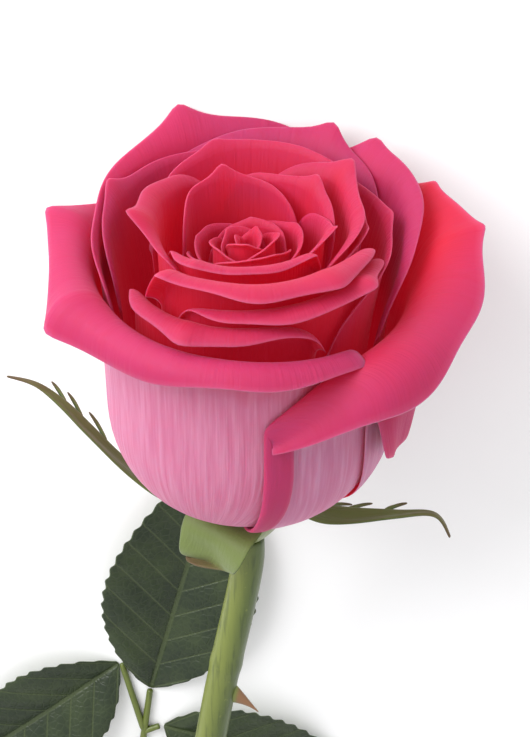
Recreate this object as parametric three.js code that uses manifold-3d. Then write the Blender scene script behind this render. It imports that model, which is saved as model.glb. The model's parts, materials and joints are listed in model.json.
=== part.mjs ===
import Module from 'manifold-3d';
import * as THREE from 'three';
import { mergeVertices } from 'three/addons/utils/BufferGeometryUtils.js';

// A cut garden rose lying on a surface: the bloom rests on its back petals, the cut end of the
// stem and two compound leaves lie on the surface, and the showing side of the bloom looks up.
// Sizes are in millimetres and angles in degrees.
//
// The bloom is shaped in its own frame: the foot of the cup is the origin, +Z runs up its axis,
// azimuths run anticlockwise from +X, and -Y is the showing side. The stem and the leaves are
// shaped in the lying frame: the foot of the cup is above X = 0, Y = 0, the bloom faces -Y, the
// stem runs to +Y and the surface is at Z = 0.

// Bloom
const CUP_RADIUS = 30;
const CUP_DEPTH = 24;
const BLOOM_HEIGHT = 66;
const HEART_RADIUS = 1.8;
const FOOT_RADIUS = 8;
const HEART_FOOT_RADIUS = 0.5;
const PETAL_THICKNESS = 0.45;
const PETAL_CLEARANCE = 0.15;
const FACE_TILT = 6;

// Receptacle and sepals
const RECEPTACLE_LIP = 0.6;
const RECEPTACLE_DEPTH = 11;
const SEPAL_WIDTH = 8.5;
const SEPAL_THICKNESS = 0.8;

// Stem and prickles
const STEM_DIAMETER = 7;
const STEM_LENGTH = 330;
const STEM_DRIFT = 26;
const PRICKLE_LENGTH = 6;
const PRICKLE_WIDTH = 6;

// Leaves
const LEAF_THICKNESS = 0.5;
const STALK_DIAMETER = 2;
const TERMINAL_LENGTH = 60;
const TERMINAL_WIDTH = 31;
const LATERAL_LENGTH = 46;
const LATERAL_WIDTH = 27;
const LEAFLET_ARCH = 1.2;
const LEAFLET_FOLD = 0.25;
const STALK_REACH = 14;

// Gap kept between pieces that touch on the real flower
const GAP = 0.3;

// Steps of the faceted surfaces
const CUP_ROWS = 4;
const WALL_ROWS = 2;
const ROLL_ROWS = 3;
const ROLL_STEPS = 8;
const OUTER_COLUMN_STEP = 15;
const HEART_COLUMN_STEP = 30;
const STEM_SIDES = 10;
const STEM_STEPS = 24;
const SEPAL_ROWS = 8;
const LEAFLET_ROWS = 8;

const HEART_PETALS = 11;
const GOLDEN_ANGLE = 137.5;
const TIP_WIDTH = 0.08;

// Petals from the outermost in. The lists run from the margin of low azimuth to the margin of
// high azimuth: rise is the share of the way from the widest level of the cup to BLOOM_HEIGHT,
// lean how far the top of the wall stands out, roll the length of the rolled rim and bend how far
// the rim turns over. A tip is where the rim runs out to a point, and how far. quick is the
// share of the rolled rim in which it turns, foot the share of the spread at the petal's foot,
// corner how far the rim falls at its two ends. Lean, roll and tips are drawn for a cup with a
// radius of 30 and grow with it.
const PETALS = [
  {
    name: 'guard_petal_hanging', azimuth: 14, spread: 44, quick: 0.35, foot: 0.3,
    rise: [0.24, 0.33, 0.4, 0.33, 0.24], lean: [3.5, 6.5, 9.5, 11.5, 12.5],
    roll: [22, 33, 37, 34, 20], bend: [170, 182, 183, 180, 170],
    tips: [{ at: -0.35, length: 3 }],
  },
  {
    name: 'outer_petal_front_right', azimuth: 345, spread: 66, quick: 0.85, foot: 0.9, corner: [0, 8],
    rise: [0.16, 0.43, 0.5, 0.6, 0.66], lean: [0, 1.3, 5, 10, 12],
    roll: [3, 15, 16, 14, 8], bend: [150, 165, 130, 60, 45],
    tips: [{ at: 0.34, length: 4 }, { at: 0.69, length: 3 }],
  },
  {
    name: 'outer_petal_front_left', azimuth: 225, spread: 86, quick: 0.9, corner: [2, 0],
    rise: [0.67, 0.69, 0.62, 0.67, 0.73], lean: [7.5, 4.5, 1.5, 2.5, 1.5],
    roll: [8, 12, 14, 12, 6], bend: [60, 110, 165, 140, 120],
    tips: [{ at: -0.75, length: 6 }, { at: -0.22, length: 4 }],
  },
  {
    name: 'outer_petal_back_left', azimuth: 132, spread: 74,
    rise: [0.86, 0.92, 0.9, 0.79, 0.71], lean: [14, 12.7, 8, 4, 1],
    roll: [4, 5, 4, 3, 2], bend: [40, 50, 50, 40, 40],
    tips: [{ at: -0.31, length: 6 }],
  },
  {
    name: 'outer_petal_back_right', azimuth: 38, spread: 62,
    rise: [0.62, 0.76, 0.86, 0.81, 0.76], lean: [4, 8.5, 12.5, 13, 11],
    roll: [3, 5, 6, 3, 1], bend: [40, 60, 50, 40, 20],
    tips: [{ at: 0.22, length: 5 }],
  },
  {
    name: 'outer_petal_back', azimuth: 76, spread: 55,
    rise: [0.76, 0.86, 0.93, 0.88, 0.79], lean: [8.5, 11.8, 12, 9.8, 8],
    roll: [1, 3, 4, 4, 4], bend: [20, 40, 50, 50, 50],
    tips: [{ at: -0.22, length: 5 }],
  },
  {
    name: 'middle_petal_back_left', azimuth: 130, spread: 62,
    rise: [0.81, 0.9, 0.9, 0.81, 0.71], lean: [8, 8, 7.5, 6, 2],
    roll: [2, 2, 2, 3, 2], bend: [30, 30, 40, 50, 40],
    tips: [{ at: 0.3, length: 4 }],
  },
  {
    name: 'middle_petal_right', azimuth: 10, spread: 62,
    rise: [0.62, 0.74, 0.81, 0.86, 0.86], lean: [2, 5, 7, 8, 8],
    roll: [2, 2], bend: [40, 40],
    tips: [{ at: 0.1, length: 2 }],
  },
  {
    name: 'middle_petal_front_left', azimuth: 248, spread: 56,
    rise: [0.71, 0.69, 0.69, 0.71, 0.71], lean: [0, 1.5, 4, 5, 5],
    roll: [2, 4, 7, 6, 4], bend: [60, 90, 120, 120, 100],
    tips: [{ at: 0, length: 3 }],
  },
  {
    name: 'middle_petal_front_right', azimuth: 296, spread: 66,
    rise: [0.76, 0.76, 0.79, 0.81, 0.79], lean: [0.5, 2.5, 4, 4, 3],
    roll: [1.5, 6, 6, 5, 4], bend: [40, 110, 110, 90, 90],
    tips: [{ at: 0.35, length: 5 }],
  },
  {
    name: 'middle_petal_back', azimuth: 84, spread: 68,
    rise: [0.86, 0.97, 1, 0.95, 0.81], lean: [5, 6, 6, 5, 3],
    roll: [2, 2], bend: [40, 40],
    tips: [{ at: 0.3, length: 2 }],
  },
  {
    name: 'middle_petal_front', azimuth: 285, spread: 72,
    rise: [0.81, 0.86, 0.86, 0.88, 0.88], lean: [0, 2, 2.5, 3.5, 4.5],
    roll: [6, 8, 8, 7, 4], bend: [80, 100, 105, 100, 80],
    tips: [{ at: -0.72, length: 5 }, { at: 0.3, length: 3 }],
  },
  {
    name: 'inner_petal_right', azimuth: 350, spread: 60,
    rise: [0.71, 0.81, 0.86, 0.88, 0.88], lean: [0.5, 2, 4, 6, 6],
    roll: [2, 2], bend: [40, 40],
    tips: [{ at: 0.1, length: 2 }],
  },
  {
    name: 'inner_petal_back_right', azimuth: 20, spread: 70,
    rise: [0.81, 0.88, 0.93, 0.95, 0.86], lean: [0, 2.5, 4.5, 6, 5],
    roll: [1, 4, 4, 3, 2], bend: [30, 70, 60, 50, 40],
    tips: [{ at: 0.27, length: 4 }],
  },
  {
    name: 'inner_petal_left', azimuth: 170, spread: 66,
    rise: [0.9, 0.95, 0.93, 0.88, 0.86], lean: [2, 2, 1, 0.5, 0.5],
    roll: [2, 4, 6, 4, 2], bend: [60, 80, 90, 80, 60],
    tips: [{ at: 0.25, length: 5 }],
  },
  {
    name: 'inner_petal_front', azimuth: 262, spread: 70,
    rise: [0.88, 0.88, 0.88, 0.9, 0.88], lean: [0, 0.3, 0.5],
    roll: [1, 4, 4, 3, 2], bend: [30, 90, 90, 90, 60],
    tips: [{ at: -0.3, length: 2 }, { at: 0.7, length: 4 }],
  },
  {
    name: 'inner_petal_back_left', azimuth: 50, spread: 66,
    rise: [0.82, 0.88, 0.95, 0.95, 0.9], lean: [1.8, 2.4, 3, 2, 1],
    roll: [2, 3, 2, 2, 2], bend: [50, 50],
    tips: [{ at: -0.1, length: 3 }],
  },
  {
    name: 'inner_petal_front_right', azimuth: 352, spread: 60,
    rise: [0.83, 0.86, 0.88, 0.88, 0.86], lean: [1, 2, 2, 2, 1],
    roll: [1, 2, 3, 1.5, 1], bend: [40, 60, 60, 40, 40],
    tips: [{ at: -0.1, length: 4 }],
  },
  {
    name: 'inner_petal_back', azimuth: 105, spread: 72,
    rise: [0.88, 0.93, 0.97, 0.95, 0.86], lean: [0, 2, 3, 2, -1],
    roll: [1.5, 1.5], bend: [30, 30],
    tips: [{ at: 0.03, length: 3 }],
  },
];

// Sepals around the receptacle. A spine lists how far out from the receptacle and how high each
// point is, from the base to the tip, and swing is how far the tip turns about the bloom's axis.
const SEPALS = [
  {
    name: 'sepal_left', azimuth: 172,
    spine: [[0, -2], [7.6, -2.5], [16, 3], [24, 12], [29, 18], [34.3, 22.5], [40.4, 24]],
  },
  { name: 'sepal_back_left', azimuth: 108, spine: [[0, -2], [6.6, -5], [14.6, -5], [20.6, -1]] },
  { name: 'sepal_back_right', azimuth: 52, spine: [[0, -2], [6.6, -6], [14.6, -9.5], [22.6, -9.5]] },
  {
    name: 'sepal_right', azimuth: 352,
    spine: [[0, -2], [5.6, -4.5], [12.6, -4.5], [21.6, -3], [29.6, -2], [33, -7.5]],
  },
  {
    name: 'sepal_front', azimuth: 246, width: 13, swing: -30,
    spine: [[0, -2], [3.1, -4], [3.6, -8.5], [2.6, -11.5], [5.6, -12]],
  },
];

// Prickles on the stem: distance from the receptacle, and turn about the stem from +X up to +Z.
const PRICKLES = [
  { distance: 42, turn: 165 },
  { distance: 88, turn: 20 },
  { distance: 128, turn: 150 },
  { distance: 176, turn: 70 },
  { distance: 224, turn: 25 },
  { distance: 268, turn: 160 },
  { distance: 300, turn: 60 },
];

// Compound leaves. distance is where the leaf joins the stem, on the side of +X or -X, landing
// is where its stalk reaches the surface from there, and heading is the stalk's direction on the
// surface. A branch leaves the stalk at a distance back from its end, at a lean from heading,
// and its leaflet points at a turn from heading.
const LEAVES = [
  {
    name: 'upper_leaf', distance: 138, side: 1, landing: { out: 12, along: -26 },
    heading: 262, length: 54, endTurn: -7,
    branches: [
      { name: 'left_front_leaflet', back: 12, lean: 22, length: 20, turn: 135 },
      { name: 'right_front_leaflet', back: 12, lean: -60, length: 4, turn: -98 },
      { name: 'left_back_leaflet', back: 44, lean: 60, length: 4, turn: 105 },
      { name: 'right_back_leaflet', back: 42, lean: -60, length: 4, turn: -98 },
    ],
  },
  {
    name: 'lower_leaf', distance: 226, side: -1, landing: { out: 22, along: 10 },
    heading: 165, length: 54, endTurn: 6,
    branches: [
      { name: 'left_front_leaflet', back: 12, lean: 60, length: 4, turn: 70 },
      { name: 'right_front_leaflet', back: 12, lean: -60, length: 4, turn: -70 },
      { name: 'left_back_leaflet', back: 44, lean: 60, length: 4, turn: 75 },
      { name: 'right_back_leaflet', back: 44, lean: -60, length: 4, turn: -75 },
    ],
  },
];

// What follows from those sizes: the cup that the lists are drawn for, the height of the core
// that carries the petals' feet, and the radius at which the sepals start.
const ROLL_SCALE = CUP_RADIUS / 30;
const PETAL_COUNT = PETALS.length + HEART_PETALS;
const CORE_HEIGHT = (PETAL_COUNT - 1) * (PETAL_THICKNESS + PETAL_CLEARANCE);
const RECEPTACLE_RADIUS = FOOT_RADIUS + RECEPTACLE_LIP;
const SEPAL_RADIUS = RECEPTACLE_RADIUS + GAP + SEPAL_THICKNESS / 2;

const Z_AXIS = new THREE.Vector3(0, 0, 1);
const wasm = await Module();
wasm.setup();

const petalMaterial = new THREE.MeshStandardMaterial({ color: 0xdc3764, roughness: 0.7, metalness: 0 });
const greenMaterial = new THREE.MeshStandardMaterial({ color: 0x6f8f35, roughness: 0.55, metalness: 0 });
const leafMaterial = new THREE.MeshStandardMaterial({ color: 0x33452b, roughness: 0.4, metalness: 0 });

/** The value of a smooth list of keys at u, which runs from -1 to 1 over the list. */
function alongKeys(keys, u) {
  const curve = new THREE.SplineCurve(keys.map((value) => new THREE.Vector2(value, 0)));
  return curve.getPoint((u + 1) / 2).x;
}

/** A named mesh whose geometry keeps only positions, with shared vertices merged. */
function namedMesh(name, geometry, material) {
  geometry.deleteAttribute('normal');
  geometry.deleteAttribute('uv');
  const mesh = new THREE.Mesh(mergeVertices(geometry, 1e-5), material);
  mesh.name = name;
  return mesh;
}

/** Moves each vertex of a geometry to the point that place(x, y, z) gives. */
function reshape(geometry, place) {
  const position = geometry.attributes.position;
  for (let i = 0; i < position.count; i += 1) {
    const point = place(position.getX(i), position.getY(i), position.getZ(i));
    position.setXYZ(i, point.x, point.y, point.z);
  }
  return geometry;
}

/** Radius and height along a petal's middle surface, up one meridian of it. */
function petalMeridian(petal, shell, u) {
  const rise = alongKeys(petal.rise, u);
  const cornerDrop = petal.corner[u < 0 ? 0 : 1] * Math.abs(u) ** 8;
  const rim = CUP_DEPTH + rise * (BLOOM_HEIGHT - CUP_DEPTH) - cornerDrop;
  const lean = ROLL_SCALE * alongKeys(petal.lean, u);
  const points = petal.tips.map((tip) => tip.length * Math.exp(-Math.abs(u - tip.at) / TIP_WIDTH));
  const rollLength = ROLL_SCALE * points.reduce((sum, point) => sum + point, alongKeys(petal.roll, u));
  const bend = THREE.MathUtils.degToRad(alongKeys(petal.bend, u));
  const rows = [];
  for (let i = 0; i <= CUP_ROWS; i += 1) {
    const angle = (Math.PI / 2) * (i / CUP_ROWS);
    rows.push({
      radius: shell.foot + (shell.radius - shell.foot) * Math.sin(angle),
      height: CUP_DEPTH - (CUP_DEPTH - shell.base) * Math.cos(angle),
      heading: Math.PI / 2 - angle,
      width: petal.foot + (1 - petal.foot) * Math.sin(angle),
    });
  }
  for (let i = 1; i <= WALL_ROWS; i += 1) {
    const height = CUP_DEPTH + (rim - CUP_DEPTH) * (i / WALL_ROWS);
    const share = (height - CUP_DEPTH) / (BLOOM_HEIGHT - CUP_DEPTH);
    const heading = Math.atan((2 * lean * share) / (BLOOM_HEIGHT - CUP_DEPTH));
    rows.push({ radius: shell.radius + lean * share ** 2, height, heading, width: 1 });
  }
  const start = rows.at(-1);
  const steps = ROLL_STEPS * ROLL_ROWS;
  let { radius, height } = start;
  for (let i = 0; i < steps; i += 1) {
    const heading = start.heading + bend * Math.min(1, (i + 0.5) / steps / petal.quick);
    radius += (Math.sin(heading) * rollLength) / steps;
    height += (Math.cos(heading) * rollLength) / steps;
    if ((i + 1) % ROLL_STEPS === 0) {
      rows.push({ radius, height, heading, width: 1 });
    }
  }
  return rows;
}

/** One petal: a thin curved body on its own shell, from its foot on the core to its rolled rim. */
function petalMesh(row, index) {
  const petal = { quick: 1, foot: 0.3, corner: [8, 8], ...row };
  const share = index / (PETAL_COUNT - 1);
  const shell = {
    radius: THREE.MathUtils.lerp(CUP_RADIUS, HEART_RADIUS, share),
    foot: THREE.MathUtils.lerp(FOOT_RADIUS, HEART_FOOT_RADIUS, share),
    base: CORE_HEIGHT * share,
  };
  const step = index < PETALS.length ? OUTER_COLUMN_STEP : HEART_COLUMN_STEP;
  const columns = Math.ceil((2 * petal.spread) / step);
  const rowCount = CUP_ROWS + WALL_ROWS + ROLL_ROWS;
  const meridians = [];
  for (let i = 0; i <= columns; i += 1) {
    let u = -1 + (2 * i) / columns;
    for (const tip of petal.tips) {
      if (Math.abs(u - tip.at) <= 1 / columns) {
        u = tip.at;
      }
    }
    meridians.push({ u, rows: petalMeridian(petal, shell, u) });
  }
  const geometry = reshape(new THREE.BoxGeometry(2, 1, 1, columns, 1, rowCount), (x, side, z) => {
    const { u, rows } = meridians[Math.round(((x + 1) / 2) * columns)];
    const { radius, height, heading, width } = rows[Math.round((z + 0.5) * rowCount)];
    const azimuth = THREE.MathUtils.degToRad(petal.azimuth + petal.spread * u * width);
    const reach = radius - side * PETAL_THICKNESS * Math.cos(heading);
    return new THREE.Vector3(
      reach * Math.cos(azimuth),
      reach * Math.sin(azimuth),
      height + side * PETAL_THICKNESS * Math.sin(heading),
    );
  });
  return namedMesh(petal.name, geometry, petalMaterial);
}

/** The petals of the heart wind in along the golden angle, each on a smaller shell. */
function heartPetals() {
  const rows = [];
  for (let i = 0; i < HEART_PETALS; i += 1) {
    const share = i / (HEART_PETALS - 1);
    rows.push({
      name: `heart_petal_${i + 1}`,
      azimuth: 240 + GOLDEN_ANGLE * i,
      spread: 85 + 30 * share,
      rise: [0.75, 0.8, 0.82, 0.79, 0.75].map((rise) => rise + 0.03 * share),
      lean: [-0.6, -0.6],
      roll: [0.8, 1.5, 2, 1.5, 0.8],
      bend: [60, 60],
      corner: [3, 3],
      tips: [{ at: 0.15, length: 2 }],
    });
  }
  return rows;
}

/** A straight or curved tube with closed ends along a path. */
function tube(path, diameter, sides, steps) {
  const section = new THREE.Shape();
  for (let i = 0; i < sides; i += 1) {
    const angle = (2 * Math.PI * i) / sides;
    const [x, y] = [(diameter / 2) * Math.cos(angle), (diameter / 2) * Math.sin(angle)];
    if (i === 0) {
      section.moveTo(x, y);
    } else {
      section.lineTo(x, y);
    }
  }
  section.closePath();
  return new THREE.ExtrudeGeometry(section, { steps, extrudePath: path, bevelEnabled: false });
}

/** The closed solid of a geometry, ready to be joined. */
function solidOf(geometry) {
  const bare = geometry.index ? geometry.clone() : geometry;
  bare.deleteAttribute('normal');
  bare.deleteAttribute('uv');
  const merged = mergeVertices(bare, 1e-4);
  return new wasm.Manifold(new wasm.Mesh({
    numProp: 3,
    vertProperties: new Float32Array(merged.attributes.position.array),
    triVerts: new Uint32Array(merged.index.array),
  }));
}

/** The geometry of a joined solid. */
function geometryOf(solid) {
  const { vertProperties, triVerts } = solid.getMesh();
  const geometry = new THREE.BufferGeometry();
  geometry.setAttribute('position', new THREE.BufferAttribute(vertProperties, 3));
  geometry.setIndex(new THREE.BufferAttribute(triVerts, 1));
  return geometry;
}

/** The receptacle: a swollen cup under the bloom, with the core that carries the petals' feet. */
function receptacleMesh() {
  const stemRadius = STEM_DIAMETER / 2;
  const profile = [
    new THREE.Vector2(0, -RECEPTACLE_DEPTH),
    new THREE.Vector2(stemRadius, -RECEPTACLE_DEPTH),
    new THREE.Vector2(THREE.MathUtils.lerp(stemRadius, RECEPTACLE_RADIUS, 0.45), -0.72 * RECEPTACLE_DEPTH),
    new THREE.Vector2(THREE.MathUtils.lerp(stemRadius, RECEPTACLE_RADIUS, 0.9), -0.42 * RECEPTACLE_DEPTH),
    new THREE.Vector2(RECEPTACLE_RADIUS, -0.15 * RECEPTACLE_DEPTH),
    new THREE.Vector2(FOOT_RADIUS - 2 * GAP, -PETAL_THICKNESS / 2 - GAP),
    new THREE.Vector2(HEART_FOOT_RADIUS / 2, CORE_HEIGHT - PETAL_THICKNESS - 2 * GAP),
    new THREE.Vector2(0, CORE_HEIGHT - PETAL_THICKNESS - 2 * GAP),
  ];
  return namedMesh('receptacle', new THREE.LatheGeometry(profile, 16).rotateX(Math.PI / 2), greenMaterial);
}

/** A sepal: a tapering blade that follows its spine out from under the cup. */
function sepalMesh(sepal) {
  const spine = new THREE.SplineCurve(sepal.spine.map(([out, height]) => new THREE.Vector2(out, height)));
  const half = (sepal.width ?? SEPAL_WIDTH) / 2;
  const geometry = reshape(new THREE.BoxGeometry(2, 1, 1, 2, 1, SEPAL_ROWS), (u, side, along) => {
    const share = along + 0.5;
    const { x: out, y: height } = spine.getPoint(share);
    const tangent = spine.getTangent(share);
    const azimuth = THREE.MathUtils.degToRad(sepal.azimuth + (sepal.swing ?? 0) * share ** 2);
    const outward = new THREE.Vector3(Math.cos(azimuth), Math.sin(azimuth), 0);
    const across = new THREE.Vector3(-Math.sin(azimuth), Math.cos(azimuth), 0);
    const forward = outward.clone().multiplyScalar(tangent.x).addScaledVector(Z_AXIS, tangent.y);
    const upward = forward.clone().cross(across);
    const width = Math.max(0.4, half * (1 - share) ** 0.8);
    return outward.multiplyScalar(SEPAL_RADIUS + out)
      .addScaledVector(Z_AXIS, height)
      .addScaledVector(across, u * width)
      .addScaledVector(upward, side * SEPAL_THICKNESS);
  });
  return namedMesh(sepal.name, geometry, greenMaterial);
}

/** The middle line of the stem, from under the receptacle down to the surface. */
function stemPath(bloom) {
  const start = bloom.localToWorld(new THREE.Vector3(0, 0, -RECEPTACLE_DEPTH - GAP));
  const axis = bloom.localToWorld(new THREE.Vector3(0, 0, -RECEPTACLE_DEPTH - GAP - 1)).sub(start);
  const rest = STEM_DIAMETER / 2;
  const at = (share, drift, height) => new THREE.Vector3(
    start.x + drift * STEM_DRIFT,
    start.y + share * STEM_LENGTH,
    rest + height * (start.z - rest),
  );
  return new THREE.CatmullRomCurve3([
    start,
    start.clone().addScaledVector(axis, 0.03 * STEM_LENGTH),
    at(0.3, 0.5, 0.68),
    at(0.6, 0.85, 0.3),
    at(0.85, 0.98, 0.06),
    at(1, 1, 0),
  ]);
}

/** A prickle: a flat hooked cone that points out from the stem and a little back. */
function prickleGeometry(path, prickle) {
  const share = prickle.distance / path.getLength();
  const centre = path.getPointAt(share);
  const forward = path.getTangentAt(share);
  const turn = THREE.MathUtils.degToRad(prickle.turn);
  const outward = new THREE.Vector3(Math.cos(turn), 0, Math.sin(turn));
  outward.addScaledVector(forward, 0.3 - outward.dot(forward)).normalize();
  const across = new THREE.Vector3().crossVectors(forward, outward).normalize();
  const along = new THREE.Vector3().crossVectors(outward, across);
  const frame = new THREE.Matrix4().makeBasis(along, outward, across);
  frame.scale(new THREE.Vector3(1, 1, 0.4));
  frame.setPosition(centre.clone().addScaledVector(outward, STEM_DIAMETER / 2 + 0.3 * PRICKLE_LENGTH));
  return new THREE.ConeGeometry(PRICKLE_WIDTH / 2, PRICKLE_LENGTH * 1.4, 8).applyMatrix4(frame);
}

/** The stem with its prickles, which are one growth. */
function stemMesh(path) {
  const bare = solidOf(tube(path, STEM_DIAMETER, STEM_SIDES, STEM_STEPS));
  const grown = PRICKLES.reduce((stem, prickle) => stem.add(solidOf(prickleGeometry(path, prickle))), bare);
  return namedMesh('stem', geometryOf(grown), greenMaterial);
}

/** A unit direction on the surface at an angle from +X. */
function heading(angle) {
  const turn = THREE.MathUtils.degToRad(angle);
  return new THREE.Vector3(Math.cos(turn), Math.sin(turn), 0);
}

/** A leaflet: a pointed blade folded up along its midrib, lying from its base to its tip. */
function leafletMesh(name, base, angle, length, width) {
  const forward = heading(angle);
  const left = heading(angle + 90);
  const geometry = reshape(new THREE.BoxGeometry(2, 1, 1, 4, 1, LEAFLET_ROWS), (u, side, along) => {
    const share = along + 0.5;
    const half = Math.max(0.5, (width / 2) * Math.sin(Math.PI * share ** 0.85) ** 0.9);
    const height = LEAF_THICKNESS / 2 + LEAFLET_ARCH * Math.sin(Math.PI * share)
      + LEAFLET_FOLD * Math.abs(u) * half + side * LEAF_THICKNESS;
    return base.clone()
      .addScaledVector(forward, share * length)
      .addScaledVector(left, u * half)
      .setZ(height);
  });
  return namedMesh(name, geometry, leafMaterial);
}

/** A compound leaf: its branched stalk as one piece, and a leaflet at the end of each branch. */
function leafGroup(leaf, path) {
  const group = new THREE.Group();
  const joint = path.getPointAt(leaf.distance / path.getLength());
  const rest = STALK_DIAMETER / 2;
  const side = heading(leaf.side > 0 ? 0 : 180);
  const landing = joint.clone().addScaledVector(side, leaf.landing.out).setZ(rest);
  landing.y += leaf.landing.along;
  const forward = heading(leaf.heading);
  const end = landing.clone().addScaledVector(forward, leaf.length);
  const start = joint.clone().addScaledVector(side, STEM_DIAMETER / 2 + STALK_DIAMETER / 2 + GAP);
  const main = new THREE.CurvePath();
  main.add(new THREE.CubicBezierCurve3(
    start,
    start.clone().addScaledVector(side, STALK_REACH),
    landing.clone().addScaledVector(forward, -STALK_REACH),
    landing,
  ));
  main.add(new THREE.LineCurve3(landing, end));
  let stalk = solidOf(tube(main, STALK_DIAMETER, 6, 16));
  for (const branch of leaf.branches) {
    const fork = end.clone().addScaledVector(forward, -branch.back);
    const tip = fork.clone().addScaledVector(heading(leaf.heading + branch.lean), branch.length);
    stalk = stalk.add(solidOf(tube(new THREE.LineCurve3(fork, tip), STALK_DIAMETER, 6, 1)));
    const angle = leaf.heading + branch.turn;
    const base = tip.clone().addScaledVector(heading(angle), STALK_DIAMETER / 2 + GAP);
    group.add(leafletMesh(`${leaf.name}_${branch.name}`, base, angle, LATERAL_LENGTH, LATERAL_WIDTH));
  }
  const base = end.clone().addScaledVector(forward, GAP);
  const angle = leaf.heading + leaf.endTurn;
  group.add(leafletMesh(`${leaf.name}_end_leaflet`, base, angle, TERMINAL_LENGTH, TERMINAL_WIDTH));
  group.add(namedMesh(`${leaf.name}_stalk`, geometryOf(stalk), greenMaterial));
  return group;
}

// The bloom lies on its side, with its face raised by FACE_TILT and its lowest petals at Z = 0.
const bloom = new THREE.Group();
[...PETALS, ...heartPetals()].forEach((row, index) => bloom.add(petalMesh(row, index)));
bloom.rotation.set(THREE.MathUtils.degToRad(90 - FACE_TILT), 0, Math.PI);
bloom.position.z = -new THREE.Box3().setFromObject(bloom, true).min.z;
bloom.updateMatrixWorld(true);
bloom.add(receptacleMesh());
SEPALS.forEach((sepal) => bloom.add(sepalMesh(sepal)));

// The stem and the leaves lie behind it.
const flower = new THREE.Group();
const path = stemPath(bloom);
flower.add(bloom, stemMesh(path));
LEAVES.forEach((leaf) => flower.add(leafGroup(leaf, path)));

// The origin is the middle of the flower's box, on the surface.
const box = new THREE.Box3().setFromObject(flower, true);
flower.position.set(-(box.min.x + box.max.x) / 2, -(box.min.y + box.max.y) / 2, -box.min.z);

const rose = new THREE.Group();
rose.add(flower);

export default rose;
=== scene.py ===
"""A cut rose that lies on a surface: bloom, calyx, stem and two compound leaves.

The bloom and the calyx are shaped in the bloom's own frame: the foot of the cup is the origin,
+Z runs up its axis, azimuths run anticlockwise from +X, and -Y is the showing side. The stem and
the leaves are shaped in the lying frame: the foot of the cup is above X = 0, Y = 0, the bloom
faces -Y, the stem runs to +Y and the surface is at Z = 0. Both use millimetres and degrees, and
every finished mesh is in the frame's metres.
"""

import json
import logging
import math
from dataclasses import dataclass
from enum import Enum

import bpy
import numpy as np
from mathutils import Matrix, Vector

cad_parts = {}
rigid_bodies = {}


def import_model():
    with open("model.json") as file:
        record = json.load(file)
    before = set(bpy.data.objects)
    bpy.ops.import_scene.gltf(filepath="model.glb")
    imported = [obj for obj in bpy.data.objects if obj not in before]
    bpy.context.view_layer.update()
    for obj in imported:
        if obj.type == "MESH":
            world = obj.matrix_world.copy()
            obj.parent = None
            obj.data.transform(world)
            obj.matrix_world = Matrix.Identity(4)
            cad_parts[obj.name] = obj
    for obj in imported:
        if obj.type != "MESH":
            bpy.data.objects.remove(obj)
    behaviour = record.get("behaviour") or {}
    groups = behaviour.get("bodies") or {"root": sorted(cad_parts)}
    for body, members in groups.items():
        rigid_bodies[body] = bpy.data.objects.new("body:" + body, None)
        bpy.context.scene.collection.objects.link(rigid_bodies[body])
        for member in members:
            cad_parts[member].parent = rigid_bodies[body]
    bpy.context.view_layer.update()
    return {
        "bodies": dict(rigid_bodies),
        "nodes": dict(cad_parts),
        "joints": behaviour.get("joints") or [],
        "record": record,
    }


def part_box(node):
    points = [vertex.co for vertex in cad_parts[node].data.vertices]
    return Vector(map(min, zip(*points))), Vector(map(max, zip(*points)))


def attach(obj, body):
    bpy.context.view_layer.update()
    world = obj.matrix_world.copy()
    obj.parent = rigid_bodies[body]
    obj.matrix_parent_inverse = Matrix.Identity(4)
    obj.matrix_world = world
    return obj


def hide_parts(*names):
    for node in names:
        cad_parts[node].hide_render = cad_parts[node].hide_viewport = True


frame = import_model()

LOG = logging.getLogger("rose")
MM = 0.001
BODY = "root"


class Slot(Enum):
    """The record's material slots."""

    PETAL = "petal"
    SEPAL = "sepal"
    STEM = "stem"
    LEAF = "leaf"


class Side(Enum):
    """A choice between two sides, as the sign of the way to it."""

    PLUS = 1
    MINUS = -1


class Modifier(Enum):
    """The modifiers that finish a mesh."""

    SOLIDIFY = "SOLIDIFY"
    SUBSURF = "SUBSURF"


class Sum(Enum):
    """What a material's math node does with its values."""

    ADD = "ADD"
    SUBTRACT = "SUBTRACT"
    MULTIPLY = "MULTIPLY"
    DIVIDE = "DIVIDE"
    MAXIMUM = "MAXIMUM"
    ABSOLUTE = "ABSOLUTE"
    FRACT = "FRACT"


# ---------------------------------------------------------------------------------------------
# Curves and small mesh tools


def along_keys(keys: tuple[float, ...], u: float) -> float:
    """The value of a smooth list of keys at a place along it.

    Args:
        keys: Values at even steps.
        u: The place, from -1 at the first key to 1 at the last.

    Returns:
        The value there, on a Catmull-Rom curve through the keys.
    """
    last = len(keys) - 1
    place = (u + 1) / 2 * last
    index = min(last, max(0, int(math.floor(place))))
    part = place - index
    before = keys[max(index - 1, 0)]
    here = keys[index]
    after = keys[min(index + 1, last)]
    beyond = keys[min(index + 2, last)]
    start, end = (after - before) / 2, (beyond - here) / 2
    cubic = 2 * here - 2 * after + start + end
    square = -3 * here + 3 * after - 2 * start - end
    return cubic * part**3 + square * part**2 + start * part + here


def smooth(low: float, high: float, value: float | np.ndarray) -> float | np.ndarray:
    """A smooth step from 0 at low to 1 at high."""
    share = np.clip((value - low) / (high - low), 0, 1)
    return share * share * (3 - 2 * share)


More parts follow.
